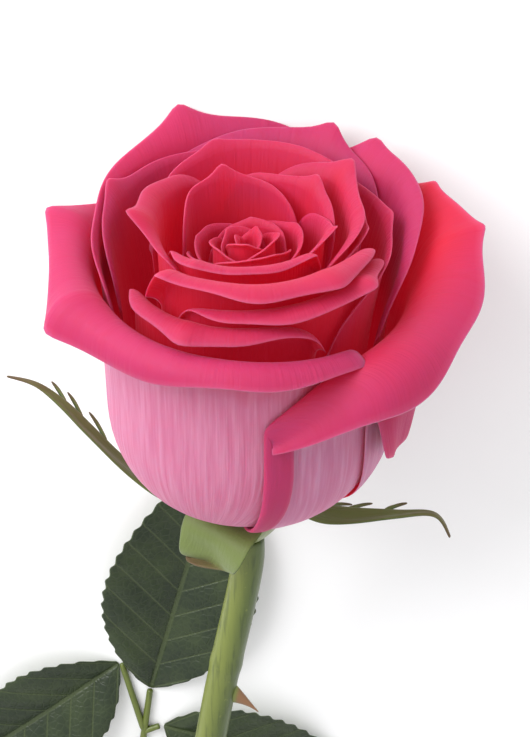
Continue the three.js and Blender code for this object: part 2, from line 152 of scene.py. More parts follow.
@dataclass(frozen=True)
class Path:
    """A smooth line through points, measured by its length.

    Attributes:
        points: Closely spaced points on the line, in millimetres.
    """

    points: np.ndarray

    @classmethod
    def through(cls, knots: list[np.ndarray]) -> "Path":
        """A centripetal Catmull-Rom line.

        Args:
            knots: The points that the line passes through.

        Returns:
            The line, sampled finely.
        """
        first, last = 2 * knots[0] - knots[1], 2 * knots[-1] - knots[-2]
        row = [first, *knots, last]
        points = []
        for before, here, after, beyond in zip(row, row[1:], row[2:], row[3:]):
            steps = (here - before, after - here, beyond - after)
            lead, span, trail = [np.linalg.norm(step) ** 0.5 for step in steps]
            start = (here - before) / lead - (after - before) / (lead + span) + (after - here) / span
            end = (after - here) / span - (beyond - here) / (span + trail) + (beyond - after) / trail
            start, end = start * span, end * span
            for part in np.linspace(0, 1, 60, endpoint=False):
                cubic = 2 * here - 2 * after + start + end
                square = -3 * here + 3 * after - 2 * start - end
                points.append(cubic * part**3 + square * part**2 + start * part + here)
        points.append(knots[-1])
        return cls(np.array(points))

    @classmethod
    def bezier(cls, start: np.ndarray, lead: np.ndarray, trail: np.ndarray, end: np.ndarray) -> "Path":
        """A cubic bow.

        Args:
            start: Where it starts.
            lead: The point it leaves towards.
            trail: The point it arrives from.
            end: Where it ends.

        Returns:
            The line, sampled finely.
        """
        part = np.linspace(0, 1, 60)[:, None]
        rest = 1 - part
        points = rest**3 * start + 3 * rest**2 * part * lead + 3 * rest * part**2 * trail + part**3 * end
        return cls(points)

    def joined(self, *others: "Path") -> "Path":
        """This line with others after it, end to end."""
        return Path(np.concatenate([self.points, *[other.points[1:] for other in others]]))

    def lengths(self) -> np.ndarray:
        """How far along the line each of its points is."""
        steps = np.linalg.norm(np.diff(self.points, axis=0), axis=1)
        return np.concatenate([[0.0], np.cumsum(steps)])

    def at(self, distance: float | np.ndarray) -> np.ndarray:
        """The point or points at a distance along the line."""
        along = self.lengths()
        return np.stack([np.interp(distance, along, self.points[:, axis]) for axis in range(3)], axis=-1)

    def tangent(self, distance: float) -> np.ndarray:
        """The unit direction of the line at a distance along it."""
        step = self.at(distance + 0.5) - self.at(distance - 0.5)
        return step / np.linalg.norm(step)


def select_only(piece: bpy.types.Object) -> None:
    """Makes a piece the one selected and active object.

    Args:
        piece: The piece.
    """
    bpy.ops.object.select_all(action="DESELECT")
    piece.select_set(True)
    bpy.context.view_layer.objects.active = piece


def sheet(name: str, columns: int, rows: int) -> tuple[bpy.types.Object, np.ndarray]:
    """A flat grid to shape, with a UV map.

    Args:
        name: The piece's name.
        columns: Faces across.
        rows: Faces along.

    Returns:
        The piece, and each vertex's place on it: across from -1 to 1, and along from 0 to 1.
    """
    bpy.ops.object.select_all(action="DESELECT")
    bpy.ops.mesh.primitive_grid_add(x_subdivisions=columns, y_subdivisions=rows, size=1, location=(0, 0, 0))
    piece = bpy.context.object
    piece.name = name
    piece.data.name = name
    flat = np.array([vertex.co[:2] for vertex in piece.data.vertices])
    return piece, np.stack([2 * flat[:, 0], flat[:, 1] + 0.5], axis=1)


def shape(piece: bpy.types.Object, points: np.ndarray) -> None:
    """Moves each vertex of a piece to its point."""
    piece.data.vertices.foreach_set("co", np.asarray(points, dtype=np.float32).ravel())
    piece.data.update()


def paint(piece: bpy.types.Object, name: str, values: np.ndarray) -> None:
    """Writes a number for each vertex into an attribute of a piece.

    Args:
        piece: The piece.
        name: The attribute's name.
        values: One number for each vertex.
    """
    data = piece.data.attributes
    attribute = data.get(name) or data.new(name, "FLOAT", "POINT")
    attribute.data.foreach_set("value", np.asarray(values, dtype=np.float32))


def finish_modifier(piece: bpy.types.Object, kind: Modifier, **settings: object) -> None:
    """Adds a modifier and applies it.

    Args:
        piece: The piece that gets it.
        kind: The modifier's type.
        **settings: Its settings.
    """
    select_only(piece)
    modifier = piece.modifiers.new(kind.value.title(), kind.value)
    for key, value in settings.items():
        setattr(modifier, key, value)
    bpy.ops.object.modifier_apply(modifier=modifier.name)


def thicken(piece: bpy.types.Object, thickness: float, edge: float, weights: np.ndarray) -> None:
    """Gives a shaped sheet its thickness, thinner towards its margins.

    The front of the sheet keeps 0 in the attribute "back", and the other side gets 1.

    Args:
        piece: The sheet.
        thickness: Full thickness, in millimetres.
        edge: The share of it that is left where a weight is 0.
        weights: One number for each vertex, 1 where the sheet is thickest.
    """
    count = len(piece.data.vertices)
    group = piece.vertex_groups.new(name="body")
    for index, weight in enumerate(weights):
        group.add([index], float(weight), "REPLACE")
    finish_modifier(
        piece, Modifier.SOLIDIFY, thickness=thickness * MM, offset=0.0,
        vertex_group="body", thickness_vertex_group=edge,
    )
    piece.vertex_groups.clear()
    back = np.ones(len(piece.data.vertices))
    back[:count] = 0
    paint(piece, "back", back)


def skin(name: str, rings: np.ndarray) -> bpy.types.Object:
    """A closed skin over a row of rings.

    Args:
        name: The piece's name.
        rings: Points in metres, one row for each ring, anticlockwise about the way they run.

    Returns:
        The piece, with its seam merged and both ends closed.
    """
    rows, around = rings.shape[0] - 1, rings.shape[1]
    piece, places = sheet(name, around, rows)
    column = np.rint((places[:, 0] + 1) / 2 * around).astype(int) % around
    row = np.rint(places[:, 1] * rows).astype(int)
    shape(piece, rings[row, column])
    select_only(piece)
    bpy.ops.object.mode_set(mode="EDIT")
    bpy.ops.mesh.select_all(action="SELECT")
    bpy.ops.mesh.remove_doubles(threshold=1e-7)
    bpy.ops.mesh.fill_holes(sides=0)
    bpy.ops.object.mode_set(mode="OBJECT")
    return piece


def tube_rings(path: Path, distances: np.ndarray, radii: np.ndarray, around: int) -> np.ndarray:
    """Round rings along a line.

    Args:
        path: The line, in millimetres.
        distances: How far along the line each ring is.
        radii: Each ring's radius.
        around: Points in a ring.

    Returns:
        The rings' points, in millimetres.
    """
    upward = np.array([0.0, 0.0, 1.0])
    turns = np.linspace(0, 2 * math.pi, around, endpoint=False)
    rings = []
    for distance, radius in zip(distances, radii):
        forward = path.tangent(distance)
        across = np.cross(upward, forward)
        across /= np.linalg.norm(across)
        top = np.cross(forward, across)
        ring = np.outer(np.cos(turns), across) + np.outer(np.sin(turns), top)
        rings.append(path.at(distance) + radius * ring)
    return np.array(rings)


def join(pieces: list[bpy.types.Object]) -> bpy.types.Object:
    """Joins pieces into one.

    Args:
        pieces: The pieces.

    Returns:
        The first of them, which now holds them all.
    """
    select_only(pieces[0])
    for piece in pieces[1:]:
        piece.select_set(True)
    bpy.ops.object.join()
    return pieces[0]


def settle(piece: bpy.types.Object, material: bpy.types.Material, slot: Slot, *nodes: str) -> None:
    """Dresses a finished piece and ties it to the frame.

    Args:
        piece: The finished piece.
        material: Its finish.
        slot: The record's material slot; not used.
        *nodes: The frame's nodes that it stands for.
    """
    select_only(piece)
    bpy.ops.object.shade_smooth()
    piece.data.materials.clear()
    piece.data.materials.append(material)
    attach(piece, BODY)
    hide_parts(*nodes)
    LOG.info("%s: %d faces", piece.name, len(piece.data.polygons))


# ---------------------------------------------------------------------------------------------
# Finishes


class Nodes:
    """A small helper that builds one material's node tree."""

    def __init__(self, name: str) -> None:
        """Starts a material.

        Args:
            name: The material's name.
        """
        self.material = bpy.data.materials.new(name)
        self.material.use_nodes = True
        self.tree = self.material.node_tree
        self.shader = self.tree.nodes["Principled BSDF"]

    def put(self, target: bpy.types.NodeSocket, value: object) -> None:
        """Links or sets an input.

        Args:
            target: The input.
            value: Another node's output, or a plain value.
        """
        if isinstance(value, bpy.types.NodeSocket):
            self.tree.links.new(value, target)
        else:
            target.default_value = value

    def attribute(self, name: str) -> bpy.types.NodeSocket:
        """A number that the mesh carries.

        Args:
            name: The attribute's name.

        Returns:
            The number.
        """
        node = self.tree.nodes.new("ShaderNodeAttribute")
        node.attribute_name = name
        return node.outputs["Fac"]

    def math(self, operation: Sum, *values: object) -> bpy.types.NodeSocket:
        """A sum.

        Args:
            operation: What is done.
            *values: One to three values.

        Returns:
            What it comes to.
        """
        node = self.tree.nodes.new("ShaderNodeMath")
        node.operation = operation.value
        for target, value in zip(node.inputs, values):
            self.put(target, value)
        return node.outputs[0]

    def vector(self, x: object, y: object, z: object = 0.0) -> bpy.types.NodeSocket:
        """A vector from three values.

        Args:
            x: Its first value.
            y: Its second value.
            z: Its third value.

        Returns:
            The vector.
        """
        node = self.tree.nodes.new("ShaderNodeCombineXYZ")
        for target, value in zip(node.inputs, (x, y, z)):
            self.put(target, value)
        return node.outputs[0]

    def object_place(self) -> bpy.types.NodeSocket:
        """The place in the object's own space."""
        return self.tree.nodes.new("ShaderNodeTexCoord").outputs["Object"]

    def noise(self, place: bpy.types.NodeSocket, scale: float, detail: float = 3.0) -> bpy.types.NodeSocket:
        """Noise over a place.

        Args:
            place: The place.
            scale: How fine the noise is.
            detail: How many finer layers it has.

        Returns:
            A value from 0 to 1.
        """
        node = self.tree.nodes.new("ShaderNodeTexNoise")
        self.put(node.inputs["Vector"], place)
        node.inputs["Scale"].default_value = scale
        node.inputs["Detail"].default_value = detail
        return node.outputs["Fac"]

    def remap(
        self, value: object, low: float, high: float, start: float = 0.0, end: float = 1.0
    ) -> bpy.types.NodeSocket:
        """A smooth step.

        Args:
            value: The value.
            low: Where the step begins.
            high: Where it ends.
            start: What comes out below it.
            end: What comes out above it.

        Returns:
            The stepped value.
        """
        node = self.tree.nodes.new("ShaderNodeMapRange")
        node.interpolation_type = "SMOOTHSTEP"
        for target, number in zip(node.inputs, (value, low, high, start, end)):
            self.put(target, number)
        return node.outputs[0]

    def mix(self, share: object, first: object, second: object) -> bpy.types.NodeSocket:
        """A colour between two colours.

        Args:
            share: How far it is from the first to the second.
            first: The first colour.
            second: The second colour.

        Returns:
            The colour.
        """
        node = self.tree.nodes.new("ShaderNodeMix")
        node.data_type = "RGBA"
        for index, value in ((0, share), (6, first), (7, second)):
            self.put(node.inputs[index], value)
        return node.outputs[2]

    def bump(self, height: bpy.types.NodeSocket, distance: float, strength: float = 1.0) -> None:
        """Adds a fine relief to the shader's normal.

        Args:
            height: The relief, from 0 to 1.
            distance: How high it stands, in metres.
            strength: How strongly it shows.
        """
        node = self.tree.nodes.new("ShaderNodeBump")
        node.inputs["Distance"].default_value = distance
        node.inputs["Strength"].default_value = strength
        self.put(node.inputs["Height"], height)
        self.put(self.shader.inputs["Normal"], node.outputs[0])

    def set(self, **values: object) -> None:
        """Sets the shader's inputs, whose names have underscores for spaces."""
        for name, value in values.items():
            self.put(self.shader.inputs[name.replace("_", " ")], value)


Colour = tuple[float, float, float, float]


@dataclass(frozen=True)
class PetalFinish:
    """Velvety petal: hot pink inside, pale and streaked outside.

    Attributes:
        face: Colour of the inner face.
        deep: Colour of the inner face towards the foot.
        back: Colour of the outer face below its rim.
        streak: Colour of the fine streaks on the outer face.
        rim: Colour of the outer face at the rim.
        foot: Colour of the outer face at the foot.
        glow_colour: Colour of the painted glow that stands in for light seeping through the petals into
            their gaps.
        glow: Strength of that painted glow.
    """

    face: Colour = (0.37, 0.022, 0.096, 1)
    deep: Colour = (0.36, 0.006, 0.022, 1)
    back: Colour = (0.45, 0.135, 0.245, 1)
    streak: Colour = (0.52, 0.215, 0.335, 1)
    rim: Colour = (0.43, 0.020, 0.076, 1)
    foot: Colour = (0.48, 0.17, 0.25, 1)
    glow_colour: Colour = (0.80, 0.008, 0.030, 1)
    glow: float = 0.17

    def build(self) -> bpy.types.Material:
        """Builds the material.

        Returns:
            The petals' material.
        """
        nodes = Nodes("petal")
        across, along = nodes.attribute("across"), nodes.attribute("along")
        fan = nodes.vector(across, nodes.math(Sum.MULTIPLY, along, 5.0), nodes.attribute("number"))
        streaks = nodes.noise(fan, 0.9, 7.0)
        fine = nodes.noise(nodes.vector(across, along, 3.0), 3.2, 2.0)
        cloud = nodes.noise(nodes.object_place(), 90.0, 2.0)
        blush, inner = nodes.attribute("blush"), nodes.attribute("inner")
        inside = nodes.mix(blush, self.deep, self.face)
        darker = nodes.math(Sum.MULTIPLY, nodes.remap(streaks, 0.45, 0.8), 0.10)
        inside = nodes.mix(darker, inside, self.deep)
        pale = nodes.mix(nodes.remap(streaks, 0.30, 0.75), self.back, self.streak)
        pale = nodes.mix(nodes.remap(along, 0.0, 0.22, 1.0, 0.0), pale, self.foot)
        drift = nodes.math(Sum.MULTIPLY, nodes.math(Sum.SUBTRACT, cloud, 0.5), 0.22)
        reach = nodes.math(Sum.ADD, along, drift)
        edge = nodes.math(Sum.MAXIMUM, nodes.remap(reach, 0.66, 0.93), inner)
        strong = nodes.mix(nodes.math(Sum.SUBTRACT, inner, blush), self.rim, self.deep)
        outside = nodes.mix(edge, pale, strong)
        back = nodes.attribute("back")
        colour = nodes.mix(back, inside, outside)
        # Painted glow: the petals give off light where they are deep red below the pink, on all but the bare
        # outer faces of the outer petals. It stands in for light that seeps through the petals into the gaps
        # between them.
        bared = nodes.math(Sum.MULTIPLY, back, nodes.math(Sum.SUBTRACT, 1.0, inner))
        glowing_faces = nodes.math(Sum.SUBTRACT, 1.0, bared)
        # Painted highlight: the outermost rows at the petals' margins are mixed a little towards the pale
        # streak colour.
        margin = nodes.math(Sum.MULTIPLY, nodes.attribute("margin"), 0.14)
        colour = nodes.mix(margin, colour, self.streak)
        glow = nodes.math(Sum.MULTIPLY, nodes.math(Sum.SUBTRACT, 1.0, blush), self.glow)
        glow = nodes.math(Sum.MULTIPLY, glow, glowing_faces)
        nodes.set(
            Base_Color=colour, Roughness=0.62, Specular_IOR_Level=0.22,
            Emission_Color=self.glow_colour, Emission_Strength=glow,
            Subsurface_Weight=0.55, Subsurface_Radius=(1.0, 0.14, 0.22), Subsurface_Scale=0.004,
            Sheen_Weight=0.07, Sheen_Roughness=0.45, Sheen_Tint=(1.0, 0.6, 0.75, 1),
        )
        nodes.bump(nodes.math(Sum.ADD, streaks, nodes.math(Sum.MULTIPLY, fine, 0.5)), 0.00035, 0.55)
        return nodes.material


@dataclass(frozen=True)
class SepalFinish:
    """Soft green sepal, paler inside, that turns reddish brown towards a dry tip.

    Attributes:
        green: Colour of the outer face.
        pale: Colour of the inner face, which is downy.
        dry: Colour of the tip.
    """

    green: Colour = (0.036, 0.062, 0.010, 1)
    pale: Colour = (0.13, 0.17, 0.045, 1)
    dry: Colour = (0.085, 0.028, 0.014, 1)

    def build(self) -> bpy.types.Material:
        """Builds the material.

        Returns:
            The sepals' material.
        """
        nodes = Nodes("sepal")
        across, along = nodes.attribute("across"), nodes.attribute("along")
        veins = nodes.noise(nodes.vector(across, nodes.math(Sum.MULTIPLY, along, 3.0)), 1.6, 4.0)
        cloud = nodes.noise(nodes.object_place(), 160.0, 4.0)
        colour = nodes.mix(nodes.attribute("back"), self.pale, self.green)
        colour = nodes.mix(nodes.math(Sum.MULTIPLY, nodes.remap(veins, 0.45, 0.7), 0.4), colour, self.pale)
        drift = nodes.math(Sum.MULTIPLY, nodes.math(Sum.SUBTRACT, cloud, 0.5), 0.5)
        reach = nodes.math(Sum.ADD, along, drift)
        colour = nodes.mix(nodes.math(Sum.MULTIPLY, nodes.remap(reach, 0.55, 1.05), 0.8), colour, self.dry)
        nodes.set(
            Base_Color=colour, Roughness=0.58, Specular_IOR_Level=0.35,
            Subsurface_Weight=0.08, Subsurface_Radius=(0.4, 0.6, 0.15), Subsurface_Scale=0.001,
            Sheen_Weight=0.12, Sheen_Roughness=0.5,
        )
        nodes.bump(nodes.math(Sum.ADD, veins, cloud), 0.0003, 0.6)
        return nodes.material


@dataclass(frozen=True)
class StemFinish:
    """Waxy green bark with fine lengthwise streaks, lighter on the side towards the key light: painted
    light.

    Attributes:
        green: Main colour.
        lit_and_pore_green: Colour painted on the side towards the key light as painted light, and colour of
            the pores.
        shade: Colour of the streaks.
        thorn: Colour of the prickles.
        pith: Colour of the cut end.
    """

    green: Colour = (0.056, 0.088, 0.010, 1)
    lit_and_pore_green: Colour = (0.155, 0.185, 0.034, 1)
    shade: Colour = (0.026, 0.046, 0.006, 1)
    thorn: Colour = (0.20, 0.095, 0.040, 1)
    pith: Colour = (0.38, 0.42, 0.22, 1)

    def build(self) -> bpy.types.Material:
        """Builds the material.

        Returns:
            The material of the stem, the stalks and the receptacle.
        """
        nodes = Nodes("stem")
        place = nodes.object_place()
        stretch = nodes.tree.nodes.new("ShaderNodeMapping")
        stretch.inputs["Scale"].default_value = (1.0, 0.07, 1.0)
        nodes.put(stretch.inputs["Vector"], place)
        streaks = nodes.noise(stretch.outputs[0], 1100.0, 4.0)
        patches = nodes.noise(stretch.outputs[0], 260.0, 3.0)
        pores = nodes.noise(place, 900.0, 2.0)
        # Painted light: the bark turns pale where the painted light attribute is high, broken up by random
        # patches.
        side = nodes.math(Sum.ADD, nodes.attribute("painted_light"), nodes.math(Sum.MULTIPLY, patches, 0.5))
        colour = nodes.mix(nodes.remap(side, 0.35, 1.1), self.green, self.lit_and_pore_green)
        dark = nodes.math(Sum.MULTIPLY, nodes.remap(streaks, 0.48, 0.72), 0.55)
        colour = nodes.mix(dark, colour, self.shade)
        colour = nodes.mix(nodes.math(Sum.MULTIPLY, nodes.remap(pores, 0.66, 0.74), 0.5), colour, self.lit_and_pore_green)
        colour = nodes.mix(nodes.remap(nodes.attribute("thorn"), 0.1, 0.9), colour, self.thorn)
        colour = nodes.mix(nodes.attribute("cut"), colour, self.pith)
        nodes.set(
            Base_Color=colour, Roughness=0.38, Specular_IOR_Level=0.45,
            Coat_Weight=0.15, Coat_Roughness=0.3,
        )
        nodes.bump(nodes.math(Sum.ADD, streaks, nodes.math(Sum.MULTIPLY, pores, 0.4)), 0.00025, 0.5)
        return nodes.material


@dataclass(frozen=True)
class LeafFinish:
    """Dark glossy leaf with paler veins and a dull pale underside.

    Attributes:
        dark: Colour of the upper face.
        fresh: Colour of the upper face in its lighter patches.
        vein: Colour of the veins.
        under: Colour of the underside.
        spacing: Distance between two side veins, in millimetres.
        slant: How far a side vein runs forward for each millimetre outward.
    """

    dark: Colour = (0.012, 0.023, 0.008, 1)
    fresh: Colour = (0.026, 0.042, 0.013, 1)
    vein: Colour = (0.075, 0.10, 0.035, 1)
    under: Colour = (0.16, 0.20, 0.12, 1)
    spacing: float = 7.0
    slant: float = 0.85

    def build(self) -> bpy.types.Material:
        """Builds the material.

        Returns:
            The leaflets' material.
        """
        nodes = Nodes("leaf")
        place = nodes.object_place()
        cloud = nodes.noise(place, 110.0, 4.0)
        net = nodes.tree.nodes.new("ShaderNodeTexVoronoi")
        net.feature = "DISTANCE_TO_EDGE"
        net.inputs["Scale"].default_value = 620.0
        nodes.put(net.inputs["Vector"], place)
        lace = nodes.remap(net.outputs["Distance"], 0.0, 0.18, 1.0, 0.0)
        across = nodes.math(Sum.ABSOLUTE, nodes.attribute("across"))
        behind = nodes.math(Sum.MULTIPLY, across, self.slant)
        ahead = nodes.math(Sum.SUBTRACT, nodes.attribute("ahead"), behind)
        part = nodes.math(Sum.FRACT, nodes.math(Sum.DIVIDE, ahead, self.spacing))
        apart = nodes.math(Sum.ABSOLUTE, nodes.math(Sum.SUBTRACT, part, 0.5))
        midrib = nodes.remap(across, 0.35, 0.8, 1.0, 0.0)
        vein = nodes.math(Sum.MAXIMUM, nodes.remap(apart, 0.43, 0.5), midrib)
        upper = nodes.mix(nodes.remap(cloud, 0.35, 0.7), self.dark, self.fresh)
        upper = nodes.mix(nodes.math(Sum.MULTIPLY, lace, 0.10), upper, self.vein)
        upper = nodes.mix(nodes.math(Sum.MULTIPLY, vein, 0.45), upper, self.vein)
        under = nodes.mix(nodes.math(Sum.MULTIPLY, vein, 0.5), self.under, self.vein)
        back = nodes.attribute("back")
        nodes.set(
            Base_Color=nodes.mix(back, upper, under), Roughness=nodes.remap(back, 0.0, 1.0, 0.40, 0.62),
            Specular_IOR_Level=0.38, Coat_Weight=0.06, Coat_Roughness=0.3,
        )
        relief = nodes.math(Sum.MULTIPLY, cloud, 0.6)
        relief = nodes.math(Sum.SUBTRACT, relief, nodes.math(Sum.MULTIPLY, lace, 0.4))
        relief = nodes.math(Sum.SUBTRACT, relief, nodes.math(Sum.MULTIPLY, vein, 0.8))
        nodes.bump(relief, 0.0003, 0.55)
        return nodes.material


# ---------------------------------------------------------------------------------------------
# Bloom


@dataclass(frozen=True)
class Placing:
    """Where the bloom lies, with its face raised from upright.

    Attributes:
        foot: The foot of the cup in the frame, in metres.
        tilt: How far the face is raised, in degrees.
    """

    foot: np.ndarray
    tilt: float

    @classmethod
    def measured(cls, tilt: float, depth: float, neck: float, widest: float, level: float) -> "Placing":
        """Finds the bloom from the receptacle's box.

        Args:
            tilt: How far the face is raised, in degrees.
            depth: Depth of the receptacle under the foot.
            neck: Radius of the receptacle where it meets the stem.
            widest: Radius of the receptacle where it is widest.
            level: Height of its widest level under the foot.

        Returns:
            The bloom's place.
        """
        low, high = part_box("receptacle")
        rise, run = math.sin(math.radians(tilt)), math.cos(math.radians(tilt))
        back = (run * depth + rise * neck) * MM
        top = (run * widest - rise * level) * MM
        return cls(np.array([(low[0] + high[0]) / 2, high[1] - back, high[2] - top]), tilt)

    def matrix(self) -> np.ndarray:
        """The turn from the bloom's frame to the lying frame."""
        rise, run = math.sin(math.radians(self.tilt)), math.cos(math.radians(self.tilt))
        return np.array([[-1, 0, 0], [0, -rise, -run], [0, -run, rise]])

    def to_frame(self, points: np.ndarray) -> np.ndarray:
        """Points of the bloom's frame, in millimetres, as points of the frame in metres."""
        return self.foot + np.asarray(points) @ self.matrix().T * MM


@dataclass(frozen=True)
class PetalShape:
    """One petal of the bloom, with lists that run from its margin of low azimuth to the other.

    Attributes:
        name: The petal's name.
        azimuth: Where its middle is about the axis.
        spread: How far it reaches to either side of its middle.
        rise: Share of the wall's full height at which the rim starts to roll.
        lean: How far the top of the wall stands out.
        roll: Length of the rolled rim.
        bend: How far the rim turns over.
        tips: Where the rim runs out to a point, and how far.
        quick: Share of the rolled rim in which it turns.
        foot: Share of the spread at the petal's foot.
        corner: How far the rim falls at its two ends.
        curl: Width of the strip at the margin of low azimuth that folds back outwards.
        blush: Share up the petal at which its inner face starts to turn from deep red to pink; the painted
            glow is given off below it.
    """

    name: str
    azimuth: float
    spread: float
    rise: tuple[float, ...]
    lean: tuple[float, ...]
    roll: tuple[float, ...]
    bend: tuple[float, ...]
    tips: tuple[tuple[float, float], ...]
    quick: float = 1.0
    foot: float = 0.3
    corner: tuple[float, float] = (8.0, 8.0)
    curl: float = 0.0
    blush: tuple[float, ...] = (0.6, 0.6)


PETALS = (
    PetalShape(
        "guard_petal_hanging", 10, 50, (0.17, 0.33, 0.4, 0.33, 0.24), (5, 8.5, 12, 13, 13.5),
        (13, 24, 30, 28, 20), (170, 182, 183, 180, 170), ((-0.85, 1), (-0.6, 1), (-0.35, 1)),
        quick=0.35, corner=(0, 4),
    ),
    PetalShape(
        "outer_petal_front_right", 345, 66, (0.16, 0.43, 0.5, 0.6, 0.66), (0, 1.3, 5.5, 11, 12.5),
        (4, 20, 20, 16, 9), (150, 160, 110, 52, 40), ((0.34, 4), (0.69, 3)),
        # The deep red reaches far up this petal's inner face, most towards its margin of high azimuth:
        # painted shade where the bloom's heart shades it.
        quick=0.85, foot=1.22, corner=(0, 8), curl=8, blush=(0.6, 0.64, 0.7, 0.86, 0.9),
    ),
    PetalShape(
        "outer_petal_front_left", 225, 86, (0.67, 0.69, 0.62, 0.59, 0.54), (7.5, 4.5, 1.5, 2.5, 1.5),
        (8, 11, 13, 11.5, 9), (60, 110, 172, 145, 130), ((-0.75, 6), (-0.22, 8)),
        quick=0.85, corner=(2, 0),
    ),
    PetalShape(
        "outer_petal_back_left", 132, 74, (0.86, 0.92, 0.9, 0.79, 0.71), (14, 12.7, 8, 4, 1),
        (4, 5, 4, 3, 2), (40, 50, 50, 40, 40), ((-0.31, 6),),
    ),
    PetalShape(
        "outer_petal_back_right", 38, 62, (0.62, 0.76, 0.86, 0.81, 0.76), (4, 8.5, 12.5, 13, 11),
        (3, 5, 6, 3, 1), (40, 60, 50, 40, 20), ((0.22, 5),),
    ),
    PetalShape(
        "outer_petal_back", 76, 55, (0.76, 0.86, 0.93, 0.88, 0.79), (8.3, 11.3, 11.5, 9.5, 8),
        (1, 3, 4, 4, 4), (20, 40, 50, 50, 50), ((-0.22, 5),),
    ),
    PetalShape(
        "middle_petal_back_left", 130, 62, (0.81, 0.9, 0.9, 0.81, 0.71), (8, 8, 7.5, 6, 2),
        (2, 2, 2, 3, 2), (30, 30, 40, 50, 40), ((0.3, 4),),
    ),
    PetalShape(
        "middle_petal_right", 10, 62, (0.62, 0.74, 0.81, 0.86, 0.86), (2, 5, 7, 8, 8),
        (2, 2), (40, 40), ((0.1, 2),),
    ),
    PetalShape(
        "middle_petal_front_left", 248, 56, (0.71, 0.69, 0.69, 0.71, 0.71), (0, 1.5, 4, 5, 5),
        (2, 7, 9, 8, 5), (60, 110, 130, 130, 100), ((0, 3),),
    ),
    PetalShape(
        "middle_petal_front_right", 296, 66, (0.76, 0.76, 0.79, 0.81, 0.79), (0.5, 2.5, 4, 4, 3),
        (1.5, 8, 9, 6, 4), (40, 120, 125, 100, 90), ((0.35, 5),),
    ),
    PetalShape(
        "middle_petal_back", 84, 68, (0.86, 0.97, 1, 0.95, 0.81), (5, 6, 6, 5, 3),
        (2, 2), (40, 40), ((0.3, 2),),
    ),
    PetalShape(
        "middle_petal_front", 285, 72, (0.81, 0.86, 0.86, 0.88, 0.88), (-0.3, 1.6, 2.2, 3.2, 4.2),
        (6, 9, 10, 8, 4), (80, 115, 125, 115, 80), ((-0.72, 5), (0.3, 3)),
    ),
    PetalShape(
        "inner_petal_right", 350, 60, (0.71, 0.81, 0.86, 0.88, 0.88), (0.5, 2, 4, 6, 6),
        (2, 2), (40, 40), ((0.1, 2),),
    ),
    PetalShape(
        "inner_petal_back_right", 20, 70, (0.81, 0.88, 0.93, 0.95, 0.86), (0, 2.5, 4.5, 6, 5),
        (1, 4, 4, 3, 2), (30, 70, 60, 50, 40), ((0.27, 4),),
    ),
    PetalShape(
        "inner_petal_left", 170, 66, (0.9, 0.95, 0.93, 0.88, 0.86), (2, 2, 1.2, 0.9, 0.9),
        (2, 4, 6, 4, 2), (60, 80, 90, 80, 60), ((0.25, 5),),
    ),
    PetalShape(
        "inner_petal_front", 262, 70, (0.88, 0.88, 0.88, 0.9, 0.88), (0, 0.3, 0.5),
        (1, 5, 7, 5, 2), (30, 100, 115, 110, 60), ((-0.3, 2), (0.7, 4)),
    ),
    PetalShape(
        "inner_petal_back_left", 50, 66, (0.82, 0.88, 0.95, 0.95, 0.9), (1.8, 2.4, 3, 2, 1),
        (2, 3, 2, 2, 2), (50, 50), ((-0.1, 3),),
    ),
    PetalShape(
        "inner_petal_front_right", 352, 60, (0.83, 0.86, 0.88, 0.88, 0.86), (0, 0.6, 2, 2, 1),
        (1, 2, 3, 1.5, 1), (40, 60, 60, 40, 40), ((-0.1, 4),),
    ),
    PetalShape(
        "inner_petal_back", 105, 72, (0.88, 0.93, 0.97, 0.95, 0.86), (0, 2, 3, 2, -1),
        (1.5, 1.5), (30, 30), ((0.03, 3),),
    ),
)


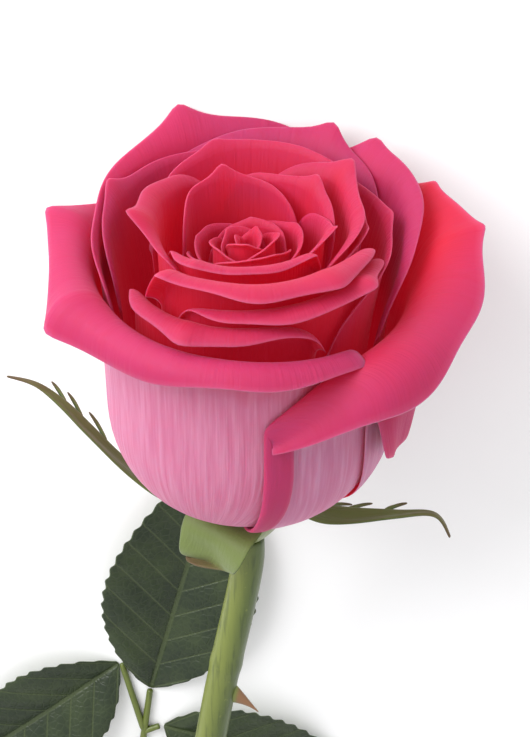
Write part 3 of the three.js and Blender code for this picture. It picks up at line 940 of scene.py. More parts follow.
@dataclass(frozen=True)
class Bloom:
    """The petals, each on its own shell from the outermost in.

    Attributes:
        place: Where the bloom lies.
        cup_radius: Radius of the outermost shell at its widest.
        cup_depth: Height of the widest level over the foot.
        height: Height to which a wall with a full rise reaches.
        heart_radius: Radius of the innermost shell.
        foot_radius: Radius of the outermost petal's foot.
        heart_foot_radius: Radius of the innermost petal's foot.
        thickness: Thickness of a petal.
        clearance: Gap between the feet of two petals.
        heart_petals: How many petals wind into the heart.
        golden_angle: Turn from one heart petal to the next.
        unevenness: How far the heart petals' rims differ in rise.
        tip_width: Share of the half spread that a tip takes.
        cell: Width of a face on the mesh.
        ripple: How far the rims wave.
        curl_foot: Share of a folded strip's width that is left at the petal's foot.
        curl_bend: Share of the strip's width that its bend takes.
        curl_lift: How far the strip stands off the petal, as a share of a round bend.
        late_pink: How much higher on the middle petals the pink starts, and again on the heart.
        middle_from: Places from the outermost shell between which the middle petals begin.
        pink_run: Share of a petal's length in which the pink comes up.
        grain_step: How far apart two petals are in the streaks' pattern.
        cup_rows: Faces up the round of the cup.
        wall_rows: Faces up the wall above it.
        roll_rows: Faces over the rolled rim.
    """

    place: Placing
    cup_radius: float = 30.0
    cup_depth: float = 24.0
    height: float = 66.0
    heart_radius: float = 1.8
    foot_radius: float = 8.0
    heart_foot_radius: float = 0.5
    thickness: float = 0.45
    clearance: float = 0.15
    heart_petals: int = 11
    golden_angle: float = 137.5
    unevenness: float = 0.014
    tip_width: float = 0.08
    cell: float = 2.0
    ripple: float = 0.3
    curl_foot: float = 0.3
    curl_bend: float = 0.45
    curl_lift: float = 0.55
    late_pink: tuple[float, float] = (0.17, 0.08)
    middle_from: tuple[float, float] = (0.17, 0.22)
    pink_run: float = 0.32
    grain_step: float = 7.3
    cup_rows: int = 8
    wall_rows: int = 8
    roll_rows: int = 10

    def heart(self) -> tuple[PetalShape, ...]:
        """Works out the petals of the heart, which wind in along the golden angle.

        Returns:
            The petals, from the outermost in.
        """
        shapes = []
        for index in range(self.heart_petals):
            share = index / (self.heart_petals - 1)
            lift = 0.03 * share + self.unevenness * math.sin(2.4 * index)
            rise = tuple(value + lift for value in (0.75, 0.8, 0.82, 0.79, 0.75))
            shapes.append(PetalShape(
                f"heart_petal_{index + 1}", 240 + self.golden_angle * index, 85 + 30 * share, rise,
                (-0.6, -0.6), (0.8, 1.5, 2, 1.5, 0.8), (60, 60), ((0.15, 0.6),), corner=(3, 3),
            ))
        return tuple(shapes)

    def meridian(self, petal: PetalShape, share: float, u: float, wave: float) -> np.ndarray:
        """One line up the middle surface of a petal.

        Args:
            petal: The petal.
            share: Its place from the outermost shell, 0, to the innermost, 1.
            u: The line's place across the petal, from -1 to 1.
            wave: How far the rim waves there, from -1 to 1.

        Returns:
            A row for each level: radius, height, share of the spread and length from the foot.
        """
        radius = self.cup_radius + (self.heart_radius - self.cup_radius) * share
        foot = self.foot_radius + (self.heart_foot_radius - self.foot_radius) * share
        count = len(PETALS) + self.heart_petals
        base = (count - 1) * (self.thickness + self.clearance) * share
        drop = petal.corner[0 if u < 0 else 1] * abs(u) ** 8
        wall = self.height - self.cup_depth
        rim = self.cup_depth + along_keys(petal.rise, u) * wall - drop
        lean = along_keys(petal.lean, u) + wave * self.ripple
        points = [length * math.exp(-abs(u - at) / self.tip_width) for at, length in petal.tips]
        roll = along_keys(petal.roll, u) * (1 + 0.1 * wave) + sum(points)
        bend = math.radians(along_keys(petal.bend, u) * (1 + 0.06 * wave))
        rows = []
        # The round of the cup, from the foot to the widest level.
        for angle in np.linspace(0, math.pi / 2, self.cup_rows + 1):
            rows.append((
                foot + (radius - foot) * math.sin(angle),
                self.cup_depth - (self.cup_depth - base) * math.cos(angle),
                petal.foot + (1 - petal.foot) * math.sin(angle),
            ))
        # The wall, which leans out more and more.
        for level in np.linspace(self.cup_depth, rim, self.wall_rows + 1)[1:]:
            rows.append((radius + lean * ((level - self.cup_depth) / wall) ** 2, level, 1.0))
        # The rolled rim, walked in fine steps that turn evenly and then run straight.
        out, up, _ = rows[-1]
        start = math.atan(2 * lean * (rim - self.cup_depth) / wall**2)
        fine = 4
        steps = self.roll_rows * fine
        for step in range(steps):
            heading = start + bend * min(1.0, (step + 0.5) / steps / petal.quick)
            out += math.sin(heading) * roll / steps
            up += math.cos(heading) * roll / steps
            if (step + 1) % fine == 0:
                rows.append((out, up, 1.0))
        line = np.array(rows)
        lengths = np.concatenate([[0.0], np.cumsum(np.linalg.norm(np.diff(line[:, :2], axis=0), axis=1))])
        return np.column_stack([line, lengths])

    def curled(
        self, petal: PetalShape, azimuth: float, out: float, reach: float, row: int
    ) -> tuple[float, float]:
        """Folds the margin of low azimuth back outwards.

        Args:
            petal: The petal.
            azimuth: Where a point is about the axis, in radians.
            out: Its distance from the axis.
            reach: The petal's share of its spread at that level.
            row: The level's number, from the foot up.

        Returns:
            The point's azimuth and distance once folded.
        """
        # The strip is narrow at the foot and runs out on the rolled rim.
        first = math.radians(petal.azimuth - petal.spread * reach)
        above = max(0, row - self.cup_rows - self.wall_rows) / self.roll_rows
        widening = self.curl_foot + (1 - self.curl_foot) * smooth(0, 1, row / self.cup_rows)
        strip = petal.curl * widening * (1 - smooth(0, 0.7, above))
        whole = math.radians(2 * petal.spread * reach) * out
        past = strip - (azimuth - first) * out
        # What isn't in the strip is spread out again up to the old margin.
        if past <= 0:
            return first - past / out * whole / (whole - strip), out
        turn = self.curl_bend * strip + 1e-6
        sharp = math.pi / turn
        bent = min(past, turn)
        back = math.sin(sharp * bent) / sharp - max(0.0, past - turn)
        lift = (1 - math.cos(sharp * bent)) / sharp
        return first - back / out, out + self.curl_lift * lift

    def petal(self, petal: PetalShape, index: int) -> bpy.types.Object:
        """Models one petal.

        Args:
            petal: Its shape.
            index: Its number, from the outermost in.

        Returns:
            The finished mesh.
        """
        count = len(PETALS) + self.heart_petals
        share = index / (count - 1)
        radius = self.cup_radius + (self.heart_radius - self.cup_radius) * share
        width = math.radians(2 * petal.spread) * (radius + 4)
        columns = max(16, round(width / (self.cell / 2 if petal.curl else self.cell)))
        rows = self.cup_rows + self.wall_rows + self.roll_rows
        draw = np.random.default_rng(index)
        phases = draw.uniform(0, 2 * math.pi, 3)
        # One line up the petal for each column of the sheet, and one right at each tip.
        lines = []
        for column in range(columns + 1):
            u = -1 + 2 * column / columns
            for at, _ in petal.tips:
                if abs(u - at) <= 1 / columns:
                    u = at
            wave = sum(math.sin(turns * u + phase) for turns, phase in zip((5.0, 9.0, 14.0), phases)) / 3
            lines.append((u, self.meridian(petal, share, u, wave)))
        piece, places = sheet(petal.name, columns, rows)
        later = self.late_pink[0] * smooth(*self.middle_from, share) + self.late_pink[1] * share
        points, across, along, margin, blush = [], [], [], [], []
        for x, y in places:
            column, row = round((1 - x) / 2 * columns), round(y * rows)
            u, line = lines[column]
            out, up, reach, length = line[row]
            azimuth = math.radians(petal.azimuth + petal.spread * u * reach)
            if petal.curl:
                azimuth, out = self.curled(petal, azimuth, out, reach, row)
            points.append((out * math.cos(azimuth), out * math.sin(azimuth), up))
            across.append(u * width / 2)
            along.append(length / line[-1, 3])
            margin.append(float(column in (0, columns) or row == rows))
            turned = along_keys(petal.blush, u) + later
            folded = (u + 1) * width / 2 < 1.1 * petal.curl
            blush.append(1.0 if folded else smooth(turned, turned + self.pink_run, along[-1]))
        shape(piece, self.place.to_frame(points))
        paint(piece, "across", across)
        paint(piece, "along", along)
        paint(piece, "margin", margin)
        paint(piece, "blush", blush)
        paint(piece, "number", np.full(len(points), index * self.grain_step))
        paint(piece, "inner", np.full(len(points), smooth(0.05, 0.13, share)))
        thicken(piece, self.thickness, 0.35, 1 - np.array(margin))
        finish_modifier(piece, Modifier.SUBSURF, levels=1, render_levels=1)
        return piece

    def build(self, material: bpy.types.Material) -> None:
        """Models and dresses every petal.

        Args:
            material: The petals' finish.
        """
        for index, petal in enumerate((*PETALS, *self.heart())):
            settle(self.petal(petal, index), material, Slot.PETAL, petal.name)


# ---------------------------------------------------------------------------------------------
# Calyx


@dataclass(frozen=True)
class SepalShape:
    """One sepal.

    Attributes:
        name: The sepal's name.
        azimuth: Where it leaves the receptacle.
        outs: How far out from the receptacle its middle line is, from base to tip.
        heights: How high its middle line is, from base to tip.
        width: Its width near the base.
        swing: How far its tip turns about the bloom's axis.
        teeth: Share along it of each narrow tooth on one margin.
        side: Which margin the teeth are on, in the sense of the azimuth.
        taper: How quickly it narrows towards the tip, 1 for evenly.
    """

    name: str
    azimuth: float
    outs: tuple[float, ...]
    heights: tuple[float, ...]
    width: float = 8.5
    swing: float = 0.0
    teeth: tuple[float, ...] = ()
    side: Side = Side.PLUS
    taper: float = 1.15


SEPALS = (
    SepalShape(
        "sepal_left", 172, (0, 7.6, 16, 24, 29, 34.3, 40.4), (-2, -2.5, 3, 12, 18, 22.5, 24),
        teeth=(0.42, 0.54, 0.66), side=Side.MINUS,
    ),
    SepalShape("sepal_back_left", 108, (0, 6.6, 14.6, 20.6), (-2, -5, -5, -1), teeth=(0.4,)),
    SepalShape("sepal_back_right", 52, (0, 6.6, 14.6, 22.6), (-2, -6, -9.5, -9.5), teeth=(0.45,)),
    SepalShape(
        "sepal_right", 352, (0, 5.6, 12.6, 21.6, 29.6, 33), (-2, -4.5, -4.5, -3, -2, -7.5),
        teeth=(0.2, 0.36, 0.52),
    ),
    SepalShape("sepal_front", 243, (0, 3.1, 3.6, 2.6, 5.6), (-2, -4, -8.5, -11.5, -12), 20, -30, taper=0.5),
)


@dataclass(frozen=True)
class Calyx:
    """The receptacle and the sepals around it.

    Attributes:
        place: Where the bloom lies.
        radius: Radius of the receptacle at its widest.
        depth: Its depth under the foot of the cup.
        neck: Its radius where it meets the stem.
        core: The radius and height of the core inside, at its foot and at its top.
        reach: Radius at which the sepals' middle lines start.
        thickness: Thickness of a sepal.
        tooth: Length of a sepal's tooth.
        around: Faces around the receptacle.
        rows: Faces along a sepal.
    """

    place: Placing
    radius: float = 8.6
    depth: float = 11.0
    neck: float = 3.5
    core: tuple[tuple[float, float], ...] = ((7.4, -0.525), (0.25, 16.35))
    reach: float = 9.3
    thickness: float = 0.8
    tooth: float = 8.0
    around: int = 40
    rows: int = 26

    def receptacle(self) -> bpy.types.Object:
        """Models the swollen cup under the bloom, with faint ribs that run down to the stem.

        Returns:
            The finished mesh.
        """
        shares = (0.0, 0.02, 0.16, 0.3, 0.45, 0.6, 0.75, 0.9, 0.97, 1.0)
        swell = self.radius - self.neck
        profile = [(0.1, -self.depth), (0.55 * self.neck, -self.depth)]
        for share in shares:
            bulge = self.neck + swell * math.sin(share * math.pi / 2) ** 0.9
            profile.append((bulge, -self.depth + share * 0.85 * self.depth))
        profile.extend(self.core)
        turns = np.linspace(0, 2 * math.pi, self.around, endpoint=False)
        rings = []
        for radius, height in profile:
            ribs = radius * (1 + 0.018 * np.cos(5 * turns + 0.6) * (height < 0))
            level = np.full_like(turns, height)
            rings.append(np.stack([ribs * np.cos(turns), ribs * np.sin(turns), level], axis=1))
        piece = skin("receptacle", self.place.to_frame(np.array(rings)))
        finish_modifier(piece, Modifier.SUBSURF, levels=1, render_levels=1)
        # Painted light: the whole receptacle takes a fixed share of the bark's paler lit colour.
        paint(piece, "painted_light", np.full(len(piece.data.vertices), 0.75))
        return piece

    def blade(
        self, name: str, spine: np.ndarray, side: np.ndarray, half: np.ndarray, fold: float
    ) -> bpy.types.Object:
        """Models a narrow blade that follows a middle line.

        Args:
            name: The piece's name.
            spine: The middle line in the bloom's frame.
            side: The way across the blade at each point.
            half: Half the width at each point.
            fold: How steeply the two halves rise from the middle line.

        Returns:
            The finished mesh, its inner face in front.
        """
        rows = len(spine) - 1
        forward = np.gradient(spine, axis=0)
        forward /= np.linalg.norm(forward, axis=1)[:, None]
        upward = np.cross(forward, side)
        piece, places = sheet(name, 6, rows)
        row = np.rint(places[:, 1] * rows).astype(int)
        offset = -places[:, 0] * half[row]
        rise = fold * np.abs(offset) + 0.12 * np.sin(9 * places[:, 1] + 2 * places[:, 0]) * half[row]
        points = spine[row] + offset[:, None] * side[row] + rise[:, None] * upward[row]
        shape(piece, self.place.to_frame(points))
        paint(piece, "across", offset)
        paint(piece, "along", places[:, 1])
        weights = 1 - np.maximum(np.abs(places[:, 0]) ** 4, places[:, 1] ** 6)
        thicken(piece, self.thickness, 0.45, weights)
        return piece

    def sepal(self, sepal: SepalShape) -> bpy.types.Object:
        """Models one sepal with its teeth.

        Args:
            sepal: Its shape.

        Returns:
            The finished mesh.
        """
        shares = np.linspace(0, 1, self.rows + 1)
        out = np.array([along_keys(sepal.outs, 2 * share - 1) for share in shares])
        height = np.array([along_keys(sepal.heights, 2 * share - 1) for share in shares])
        azimuth = np.radians(sepal.azimuth + sepal.swing * shares**2)
        radius = self.reach + out - 0.7 * (1 - smooth(0, 0.2, shares))
        spine = np.stack([radius * np.cos(azimuth), radius * np.sin(azimuth), height], axis=1)
        side = np.stack([-np.sin(azimuth), np.cos(azimuth), np.zeros_like(azimuth)], axis=1)
        half = 0.25 + sepal.width / 2 * (1 - shares) ** sepal.taper * (0.8 + 0.2 * np.sin(math.pi * shares))
        pieces = [self.blade(sepal.name, spine, side, half, 0.22)]
        for number, share in enumerate(sepal.teeth):
            row = round(share * self.rows)
            forward = spine[row + 1] - spine[row]
            forward /= np.linalg.norm(forward)
            outward = sepal.side.value * side[row]
            steps = np.linspace(0, 1, 9)[:, None]
            length = self.tooth * (1 - 0.14 * number)
            start = spine[row] + outward * half[row] * 0.6
            ahead = forward * (0.35 * steps + 0.5 * steps**2)
            aside = outward * (0.75 * steps - 0.25 * steps**2)
            path = start + length * (ahead + aside)
            across = np.cross([0, 0, 1], forward - outward * 0.2)
            across = np.tile(across / np.linalg.norm(across), (9, 1))
            pieces.append(self.blade("tooth", path, across, 0.75 * (1 - steps[:, 0]) ** 0.7 + 0.12, 0.1))
        piece = join(pieces)
        finish_modifier(piece, Modifier.SUBSURF, levels=1, render_levels=1)
        return piece

    def build(self, green: bpy.types.Material, bark: bpy.types.Material) -> None:
        """Models and dresses the receptacle and the sepals.

        Args:
            green: The sepals' finish.
            bark: The receptacle's finish.
        """
        settle(self.receptacle(), bark, Slot.STEM, "receptacle")
        for sepal in SEPALS:
            settle(self.sepal(sepal), green, Slot.SEPAL, sepal.name)


# ---------------------------------------------------------------------------------------------
# Stem


@dataclass(frozen=True)
class Stem:
    """The stem with its prickles, its scar and its cut end.

    Attributes:
        place: Where the bloom lies.
        diameter: Its diameter.
        length: How far it runs along Y.
        drift: How far it drifts along X.
        start: How far under the foot of the cup it starts.
        prickles: Share along it of each prickle, and its turn about the stem from +X up to +Z.
        prickle_length: How far a prickle stands out.
        prickle_width: Length of a prickle's base along the stem.
        joints: Share along it of each swelling where a leaf grew.
        scar: Share along it of an old scar.
        around: Faces around it.
    """

    place: Placing
    diameter: float = 7.0
    length: float = 330.0
    drift: float = 26.0
    start: float = 11.3
    prickles: tuple[tuple[float, float], ...] = (
        (0.126, 165), (0.264, 20), (0.384, 150), (0.529, 70), (0.673, 25), (0.805, 160), (0.901, 60),
    )
    prickle_length: float = 6.0
    prickle_width: float = 6.0
    joints: tuple[float, ...] = (0.4145, 0.6788)
    scar: float = 0.105
    around: int = 20

    def path(self) -> Path:
        """Works out the middle line.

        Returns:
            The line from under the receptacle down to the surface, in millimetres.
        """
        start = self.place.to_frame([0, 0, -self.start]) / MM
        axis = self.place.to_frame([0, 0, -self.start - 1]) / MM - start
        rest = self.diameter / 2
        knots = [start, start + axis * 0.02 * self.length]
        bends = (
            (0.14, 0.27, 0.86), (0.3, 0.55, 0.68), (0.6, 0.85, 0.3), (0.85, 0.98, 0.06), (1, 1, 0),
        )
        for share, drift, height in bends:
            level = rest + height * (start[2] - rest)
            aside, ahead = start[0] + drift * self.drift, start[1] + share * self.length
            knots.append(np.array([aside, ahead, level]))
        return Path.through(knots)

    def prickle(self) -> bpy.types.Object:
        """Models one hooked prickle.

        Returns:
            The mesh, which stands on the XY plane and leans along +Y, for copies to be placed.
        """
        sunk = 1.2
        rings = []
        turns = np.linspace(0, 2 * math.pi, 12, endpoint=False)
        for share in np.linspace(0, 1, 8):
            width = self.prickle_width / 2 * (1 - share) ** 1.5 + 0.12
            flat = 0.36 + 0.5 * share
            hook = self.prickle_length * (0.3 * share + 0.25 * share**2)
            height = np.full_like(turns, (self.prickle_length + sunk) * share - sunk)
            aside, ahead = flat * width * np.cos(turns), width * np.sin(turns) + hook
            rings.append(np.stack([aside, ahead, height], axis=1))
        piece = skin("prickle", np.array(rings) * MM)
        thorn = np.array([vertex.co.z / MM for vertex in piece.data.vertices])
        paint(piece, "thorn", smooth(-0.4, 1.6, thorn))
        # Painted light: each prickle takes a fixed share of the bark's paler lit colour.
        paint(piece, "painted_light", np.full(len(thorn), 0.8))
        return piece

    def bark(self, path: Path) -> bpy.types.Object:
        """Models the stem without its prickles.

        Args:
            path: The stem's middle line.

        Returns:
            The mesh, with its swellings, its scar and its cut end.
        """
        total = path.lengths()[-1]
        draw = np.random.default_rng(41)
        distances = np.concatenate([[0.02], np.linspace(1.0, total - 0.8, 150), [total - 0.25, total]])
        radii = np.full(len(distances), self.diameter / 2)
        radii *= 1 + 0.012 * np.interp(distances, np.linspace(0, total, 40), draw.uniform(-1, 1, 40))
        for share in self.joints:
            radii += 0.75 * np.exp(-(((distances - share * total) / 3.5) ** 2))
        radii += 0.35 * np.exp(-(((distances - self.scar * total) / 1.1) ** 2))
        radii -= 0.12 * np.exp(-(((distances - self.scar * total - 2.6) / 1.4) ** 2))
        rings = tube_rings(path, distances, radii, self.around)
        end = rings[-1].mean(axis=0)
        inner = [end + (rings[-1] - end) * share for share in (0.9, 0.6, 0.3)]
        rings = np.concatenate([rings, inner])
        piece = skin("stem", rings * MM)
        points = np.array([vertex.co[:] for vertex in piece.data.vertices]) / MM
        centres = path.at(np.interp(points[:, 1], path.points[:, 1], path.lengths()))
        # Painted light: the side of the stem towards +X, where the key light is, is painted paler.
        paint(piece, "painted_light", 0.5 + 0.5 * (points - centres)[:, 0] / (self.diameter / 2))
        from_end = np.linalg.norm(points - end, axis=1)
        paint(piece, "cut", (from_end < 0.93 * self.diameter / 2).astype(float))
        return piece

    def hooks(self, path: Path) -> list[bpy.types.Object]:
        """Copies the prickle to each of its places.

        Args:
            path: The stem's middle line.

        Returns:
            The prickles.
        """
        total = path.lengths()[-1]
        mould = self.prickle()
        pieces = []
        for share, turn in self.prickles:
            copy = mould.copy()
            copy.data = mould.data.copy()
            bpy.context.collection.objects.link(copy)
            forward = path.tangent(share * total)
            outward = np.array([math.cos(math.radians(turn)), 0, math.sin(math.radians(turn))])
            outward -= forward * outward.dot(forward)
            outward /= np.linalg.norm(outward)
            side = np.cross(forward, outward)
            spot = (path.at(share * total) + outward * self.diameter / 2) * MM
            frame = Matrix((
                (side[0], forward[0], outward[0], spot[0]),
                (side[1], forward[1], outward[1], spot[1]),
                (side[2], forward[2], outward[2], spot[2]),
                (0, 0, 0, 1),
            ))
            copy.data.transform(frame)
            pieces.append(copy)
        bpy.data.objects.remove(mould)
        return pieces

    def build(self, material: bpy.types.Material) -> None:
        """Models and dresses the stem.

        Args:
            material: Its finish.
        """
        path = self.path()
        stem = join([self.bark(path), *self.hooks(path)])
        finish_modifier(stem, Modifier.SUBSURF, levels=1, render_levels=1)
        settle(stem, material, Slot.STEM, "stem")


# ---------------------------------------------------------------------------------------------
# Leaves


def heading(angle: float) -> np.ndarray:
    """A unit direction on the surface at an angle from +X."""
    return np.array([math.cos(math.radians(angle)), math.sin(math.radians(angle)), 0.0])


@dataclass(frozen=True)
class Branch:
    """One side branch of a leaf's stalk, with the leaflet at its end.

    Attributes:
        name: The leaflet's name after the leaf's.
        back: How far from the stalk's end the branch leaves it.
        lean: The branch's turn from the stalk's heading.
        length: The branch's length.
        turn: The leaflet's turn from the stalk's heading.
    """

    name: str
    back: float
    lean: float
    length: float
    turn: float


@dataclass(frozen=True)
class LeafShape:
    """One compound leaf.

    Attributes:
        name: The leaf's name.
        share: Where it joins the stem.
        side: The side it leaves on, along X.
        landing: How far out and along its stalk reaches the surface.
        heading: The stalk's direction on the surface.
        length: The stalk's length on the surface.
        end_turn: The end leaflet's turn from the stalk's heading.
        branches: Its side leaflets.
    """

    name: str
    share: float
    side: Side
    landing: tuple[float, float]
    heading: float
    length: float
    end_turn: float
    branches: tuple[Branch, ...]


LEAVES = (
    LeafShape(
        "upper_leaf", 0.4145, Side.PLUS, (13, -21), 262, 54, -7,
        (
            Branch("left_front", 12, 22, 20, 135),
            Branch("right_front", 12, -60, 4, -98),
            Branch("left_back", 44, 60, 4, 105),
            Branch("right_back", 42, -60, 4, -98),
        ),
    ),
    LeafShape(
        "lower_leaf", 0.6788, Side.MINUS, (22, 10), 165, 54, 6,
        (
            Branch("left_front", 12, 60, 4, 70),
            Branch("right_front", 12, -60, 4, -70),
            Branch("left_back", 44, 60, 4, 75),
            Branch("right_back", 44, -60, 4, -75),
        ),
    ),
)


@dataclass(frozen=True)
class Leaves:
    """Two compound leaves that lie on the surface.

    Attributes:
        stem: The stem they grow from.
        thickness: Thickness of a leaflet.
        stalk_diameter: Diameter of a stalk.
        stalk_reach: How far a stalk runs straight at each end of its bow.
        end_size: Length and width of an end leaflet.
        side_size: Length and width of a side leaflet.
        arch: How far a leaflet's middle stands off the surface.
        fold: How steeply its two halves rise from the midrib.
        tooth: Length of the margin that one tooth takes.
        bite: How far a tooth stands out.
        spacing: Distance between two side veins.
        slant: How far a side vein runs forward for each millimetre outward.
        quilt: How far the blade bulges between two side veins.
        groove: How far the midrib is sunk.
        columns: Faces across a leaflet.
    """

    stem: Stem
    thickness: float = 0.5
    stalk_diameter: float = 2.0
    stalk_reach: float = 14.0
    end_size: tuple[float, float] = (66.0, 35.0)
    side_size: tuple[float, float] = (46.0, 27.0)
    arch: float = 1.2
    fold: float = 0.25
    tooth: float = 3.4
    bite: float = 1.0
    spacing: float = 7.0
    slant: float = 0.85
    quilt: float = 0.55
    groove: float = 0.35
    columns: int = 16

    def relief(
        self, spread: np.ndarray, along: np.ndarray, half: np.ndarray, offset: np.ndarray,
        ahead: np.ndarray, seed: int,
    ) -> np.ndarray:
        """Works out how high a leaflet's middle surface lies.

        Args:
            spread: Each point's place across, from -1 to 1.
            along: Its place along, from 0 to 1.
            half: Half the width there.
            offset: Its distance from the midrib.
            ahead: Where the side vein through it leaves the midrib.
            seed: Number that sets how the margin waves.

        Returns:
            Each point's height over the surface.
        """
        beside = np.abs(spread)
        arc = np.sin(math.pi * along)
        quilted = smooth(0.0, 0.3, beside) * (1 - smooth(0.7, 1.0, beside))
        bulge = self.quilt * np.sin(math.pi * ahead / self.spacing) ** 2 * quilted
        wave = np.sin(2.3 * math.pi * along + seed * 1.7 + 1.3 * np.sign(spread)) * beside**2.5
        curl = (0.9 + 0.9 * wave) * arc**0.5 * beside**2
        midrib = self.groove * np.exp(-((offset / 0.9) ** 2)) * arc
        return self.thickness / 2 + self.arch * arc + self.fold * beside * half + bulge + curl - midrib

    def leaflet(
        self, name: str, base: np.ndarray, angle: float, size: tuple[float, float], seed: int
    ) -> bpy.types.Object:
        """Models one leaflet with a toothed margin and a quilted blade.

        Args:
            name: The leaflet's name.
            base: Its base on the surface, in millimetres.
            angle: The way it points.
            size: Its length and width.
            seed: Number that sets how its margin waves.

        Returns:
            The finished mesh, its upper face in front.
        """
        length, width = size
        teeth = round(length / self.tooth)
        rows = teeth * 4
        forward, left = heading(angle), heading(angle + 90)
        piece, places = sheet(name, self.columns, rows)
        spread = -np.sign(places[:, 0]) * np.abs(places[:, 0]) ** 1.15
        along = places[:, 1]
        half = np.maximum(0.5, width / 2 * np.sin(math.pi * along**0.85) ** 0.9)
        step = along * teeth % 1.0
        saw = np.where(step < 0.75, step / 0.75, (1 - step) / 0.25)
        edge = np.clip((np.abs(spread) - 0.72) / 0.28, 0, 1)
        fading = np.sin(math.pi * np.clip(along, 0.02, 0.98)) ** 0.3
        offset = spread * (half + edge * self.bite * (saw - 0.6) * fading)
        ahead = along * length - self.slant * np.abs(offset)
        points = base + np.outer(along * length, forward) + np.outer(offset, left)
        points[:, 2] = self.relief(spread, along, half, offset, ahead, seed)
        shape(piece, points * MM)
        paint(piece, "across", offset)
        paint(piece, "ahead", along * length)
        thicken(piece, self.thickness, 0.4, 1 - np.abs(spread) ** 6)
        finish_modifier(piece, Modifier.SUBSURF, levels=1, render_levels=1)
        return piece

    def stalk(
        self, leaf: LeafShape, main: Path, forks: list[tuple[np.ndarray, np.ndarray]]
    ) -> bpy.types.Object:
        """Models the branched stalk of a leaf.

        Args:
            leaf: The leaf.
            main: The middle line of the stalk.
            forks: Start and end of each branch.

        Returns:
            The finished mesh.
        """
        total = main.lengths()[-1]
        distances = np.concatenate([[0.02], np.linspace(0.6, total - 0.6, 60), [total]])
        radii = self.stalk_diameter / 2 * np.interp(distances, (0, 5, 12, total), (1.5, 1.25, 1.0, 0.8))
        pieces = [skin(f"{leaf.name}_stalk", tube_rings(main, distances, radii, 10) * MM)]
        for start, end in forks:
            branch = Path(np.linspace(start, end, 12))
            steps = np.linspace(0, np.linalg.norm(end - start), 10)
            pieces.append(skin("branch", tube_rings(branch, steps, np.linspace(0.85, 0.75, 10), 10) * MM))
        piece = join(pieces)
        finish_modifier(piece, Modifier.SUBSURF, levels=1, render_levels=1)
        level = np.array([vertex.co.z for vertex in piece.data.vertices]) / MM
        # Painted light: the stalk is painted paler on its upper side and where it rises off the surface
        # towards the stem.
        paint(piece, "painted_light", 0.25 + 0.3 * smooth(0.5, 2.0, level))
        return piece

    def leaf(self, leaf: LeafShape, seed: int, blade: bpy.types.Material, bark: bpy.types.Material) -> None:
        """Models and dresses one compound leaf.

        Args:
            leaf: Its shape.
            seed: Number that sets how the first leaflet's margin waves.
            blade: The leaflets' finish.
            bark: The stalk's finish.
        """
        path = self.stem.path()
        joint = path.at(leaf.share * path.lengths()[-1])
        radius = self.stalk_diameter / 2
        side = heading(0 if leaf.side is Side.PLUS else 180)
        landing = joint + side * leaf.landing[0]
        landing[1] += leaf.landing[1]
        landing[2] = radius
        forward = heading(leaf.heading)
        end = landing + forward * leaf.length
        start = joint + side * (self.stem.diameter / 2 - 0.2)
        lead, trail = start + side * self.stalk_reach, landing - forward * self.stalk_reach
        bow = Path.bezier(start, lead, trail, landing)
        main = bow.joined(Path(np.linspace(landing, end, 20)))
        forks = []
        for number, branch in enumerate(leaf.branches):
            fork = end - forward * branch.back
            tip = fork + heading(leaf.heading + branch.lean) * branch.length
            forks.append((fork, tip))
            angle = leaf.heading + branch.turn
            base = tip + heading(angle) * radius
            name = f"{leaf.name}_{branch.name}_leaflet"
            piece = self.leaflet(name, base, angle, self.side_size, seed + number)
            settle(piece, blade, Slot.LEAF, name)
        name = f"{leaf.name}_end_leaflet"
        piece = self.leaflet(name, end, leaf.heading + leaf.end_turn, self.end_size, seed + 4)
        settle(piece, blade, Slot.LEAF, name)
        settle(self.stalk(leaf, main, forks), bark, Slot.STEM, f"{leaf.name}_stalk")

    def build(self, blade: bpy.types.Material, bark: bpy.types.Material) -> None:
        """Models and dresses both leaves."""
        for number, leaf in enumerate(LEAVES):
            self.leaf(leaf, 1 + 5 * number, blade, bark)


# ---------------------------------------------------------------------------------------------
# Studio


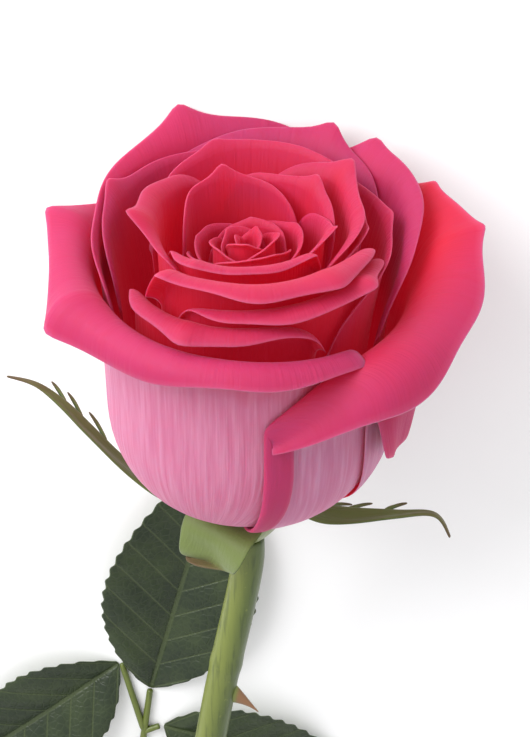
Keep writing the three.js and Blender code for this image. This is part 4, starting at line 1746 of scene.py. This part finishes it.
@dataclass(frozen=True)
class Studio:
    """A pale floor, soft light and a camera that looks at the bloom's showing side.

    Attributes:
        place: Where the bloom lies.
        aim: The point the camera looks at, in the bloom's frame.
        elevation: The camera's angle over the bloom's widest level.
        distance: The camera's distance from that point.
        lens: Its focal length.
        sky: Strength of the light from all round.
        key_power: Power of the soft key light.
        key_size: Its size, in metres.
        key_way: The way to it: to the camera's left, up and back.
        key_reach: How far it is from the bloom, in metres.
        floor: Colour of the floor.
    """

    place: Placing
    aim: tuple[float, float, float] = (3.6, 0.0, 30.4)
    elevation: float = 33.0
    distance: float = 480.0
    lens: float = 117.0
    sky: float = 1.0
    key_power: float = 6.0
    key_size: float = 0.5
    key_way: tuple[float, float, float] = (0.8, 0.45, 0.9)
    key_reach: float = 0.7
    floor: Colour = (0.93, 0.93, 0.94, 1)

    def build_floor(self) -> None:
        """Lays the floor."""
        bpy.ops.object.select_all(action="DESELECT")
        bpy.ops.mesh.primitive_plane_add(size=6, location=(0, 0, 0))
        floor = bpy.context.object
        floor.name = "floor"
        nodes = Nodes("floor")
        grain = nodes.noise(nodes.object_place(), 40.0, 2.0)
        shade = tuple(0.97 * value for value in self.floor[:3]) + (1,)
        nodes.set(Base_Color=nodes.mix(grain, self.floor, shade), Roughness=0.8, Specular_IOR_Level=0.2)
        floor.data.materials.append(nodes.material)

    def build(self) -> None:
        """Sets the floor, the lights and the camera."""
        self.build_floor()
        scene = bpy.context.scene
        turn = self.place.matrix()
        angle = math.radians(self.elevation)
        back = Vector(turn @ np.array([0, -math.cos(angle), math.sin(angle)]))
        right = Vector(turn @ np.array([1.0, 0.0, 0.0]))
        up = back.cross(right)
        target = Vector(self.place.to_frame(self.aim))
        camera = bpy.data.objects.new("camera", bpy.data.cameras.new("camera"))
        scene.collection.objects.link(camera)
        camera.data.lens = self.lens
        camera.data.sensor_width = 36.0
        camera.data.clip_end = 20.0
        camera.data.dof.use_dof = False
        axes = Matrix((right, up, back)).transposed().to_4x4()
        camera.matrix_world = Matrix.Translation(target + back * self.distance * MM) @ axes
        scene.camera = camera
        way = (-right * self.key_way[0] + up * self.key_way[1] + back * self.key_way[2]).normalized()
        lamp = bpy.data.objects.new("key", bpy.data.lights.new("key", "AREA"))
        scene.collection.objects.link(lamp)
        lamp.data.size = self.key_size
        lamp.data.energy = self.key_power
        lamp.location = target + way * self.key_reach
        lamp.rotation_euler = way.to_track_quat("Z", "Y").to_euler()
        world = bpy.data.worlds.new("studio")
        world.use_nodes = True
        world.node_tree.nodes["Background"].inputs["Color"].default_value = (1, 1, 1, 1)
        world.node_tree.nodes["Background"].inputs["Strength"].default_value = self.sky
        scene.world = world
        scene.view_settings.view_transform = "Standard"


def main() -> None:
    """Builds the rose and the studio."""
    logging.basicConfig(level=logging.INFO, format="%(name)s: %(message)s")
    place = Placing.measured(tilt=6.0, depth=11.0, neck=3.5, widest=8.6, level=1.65)
    bark = StemFinish().build()
    blade = LeafFinish().build()
    Bloom(place).build(PetalFinish().build())
    Calyx(place).build(SepalFinish().build(), bark)
    stem = Stem(place)
    stem.build(bark)
    Leaves(stem).build(blade, bark)
    Studio(place).build()
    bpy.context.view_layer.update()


if __name__ == "__main__":
    main()
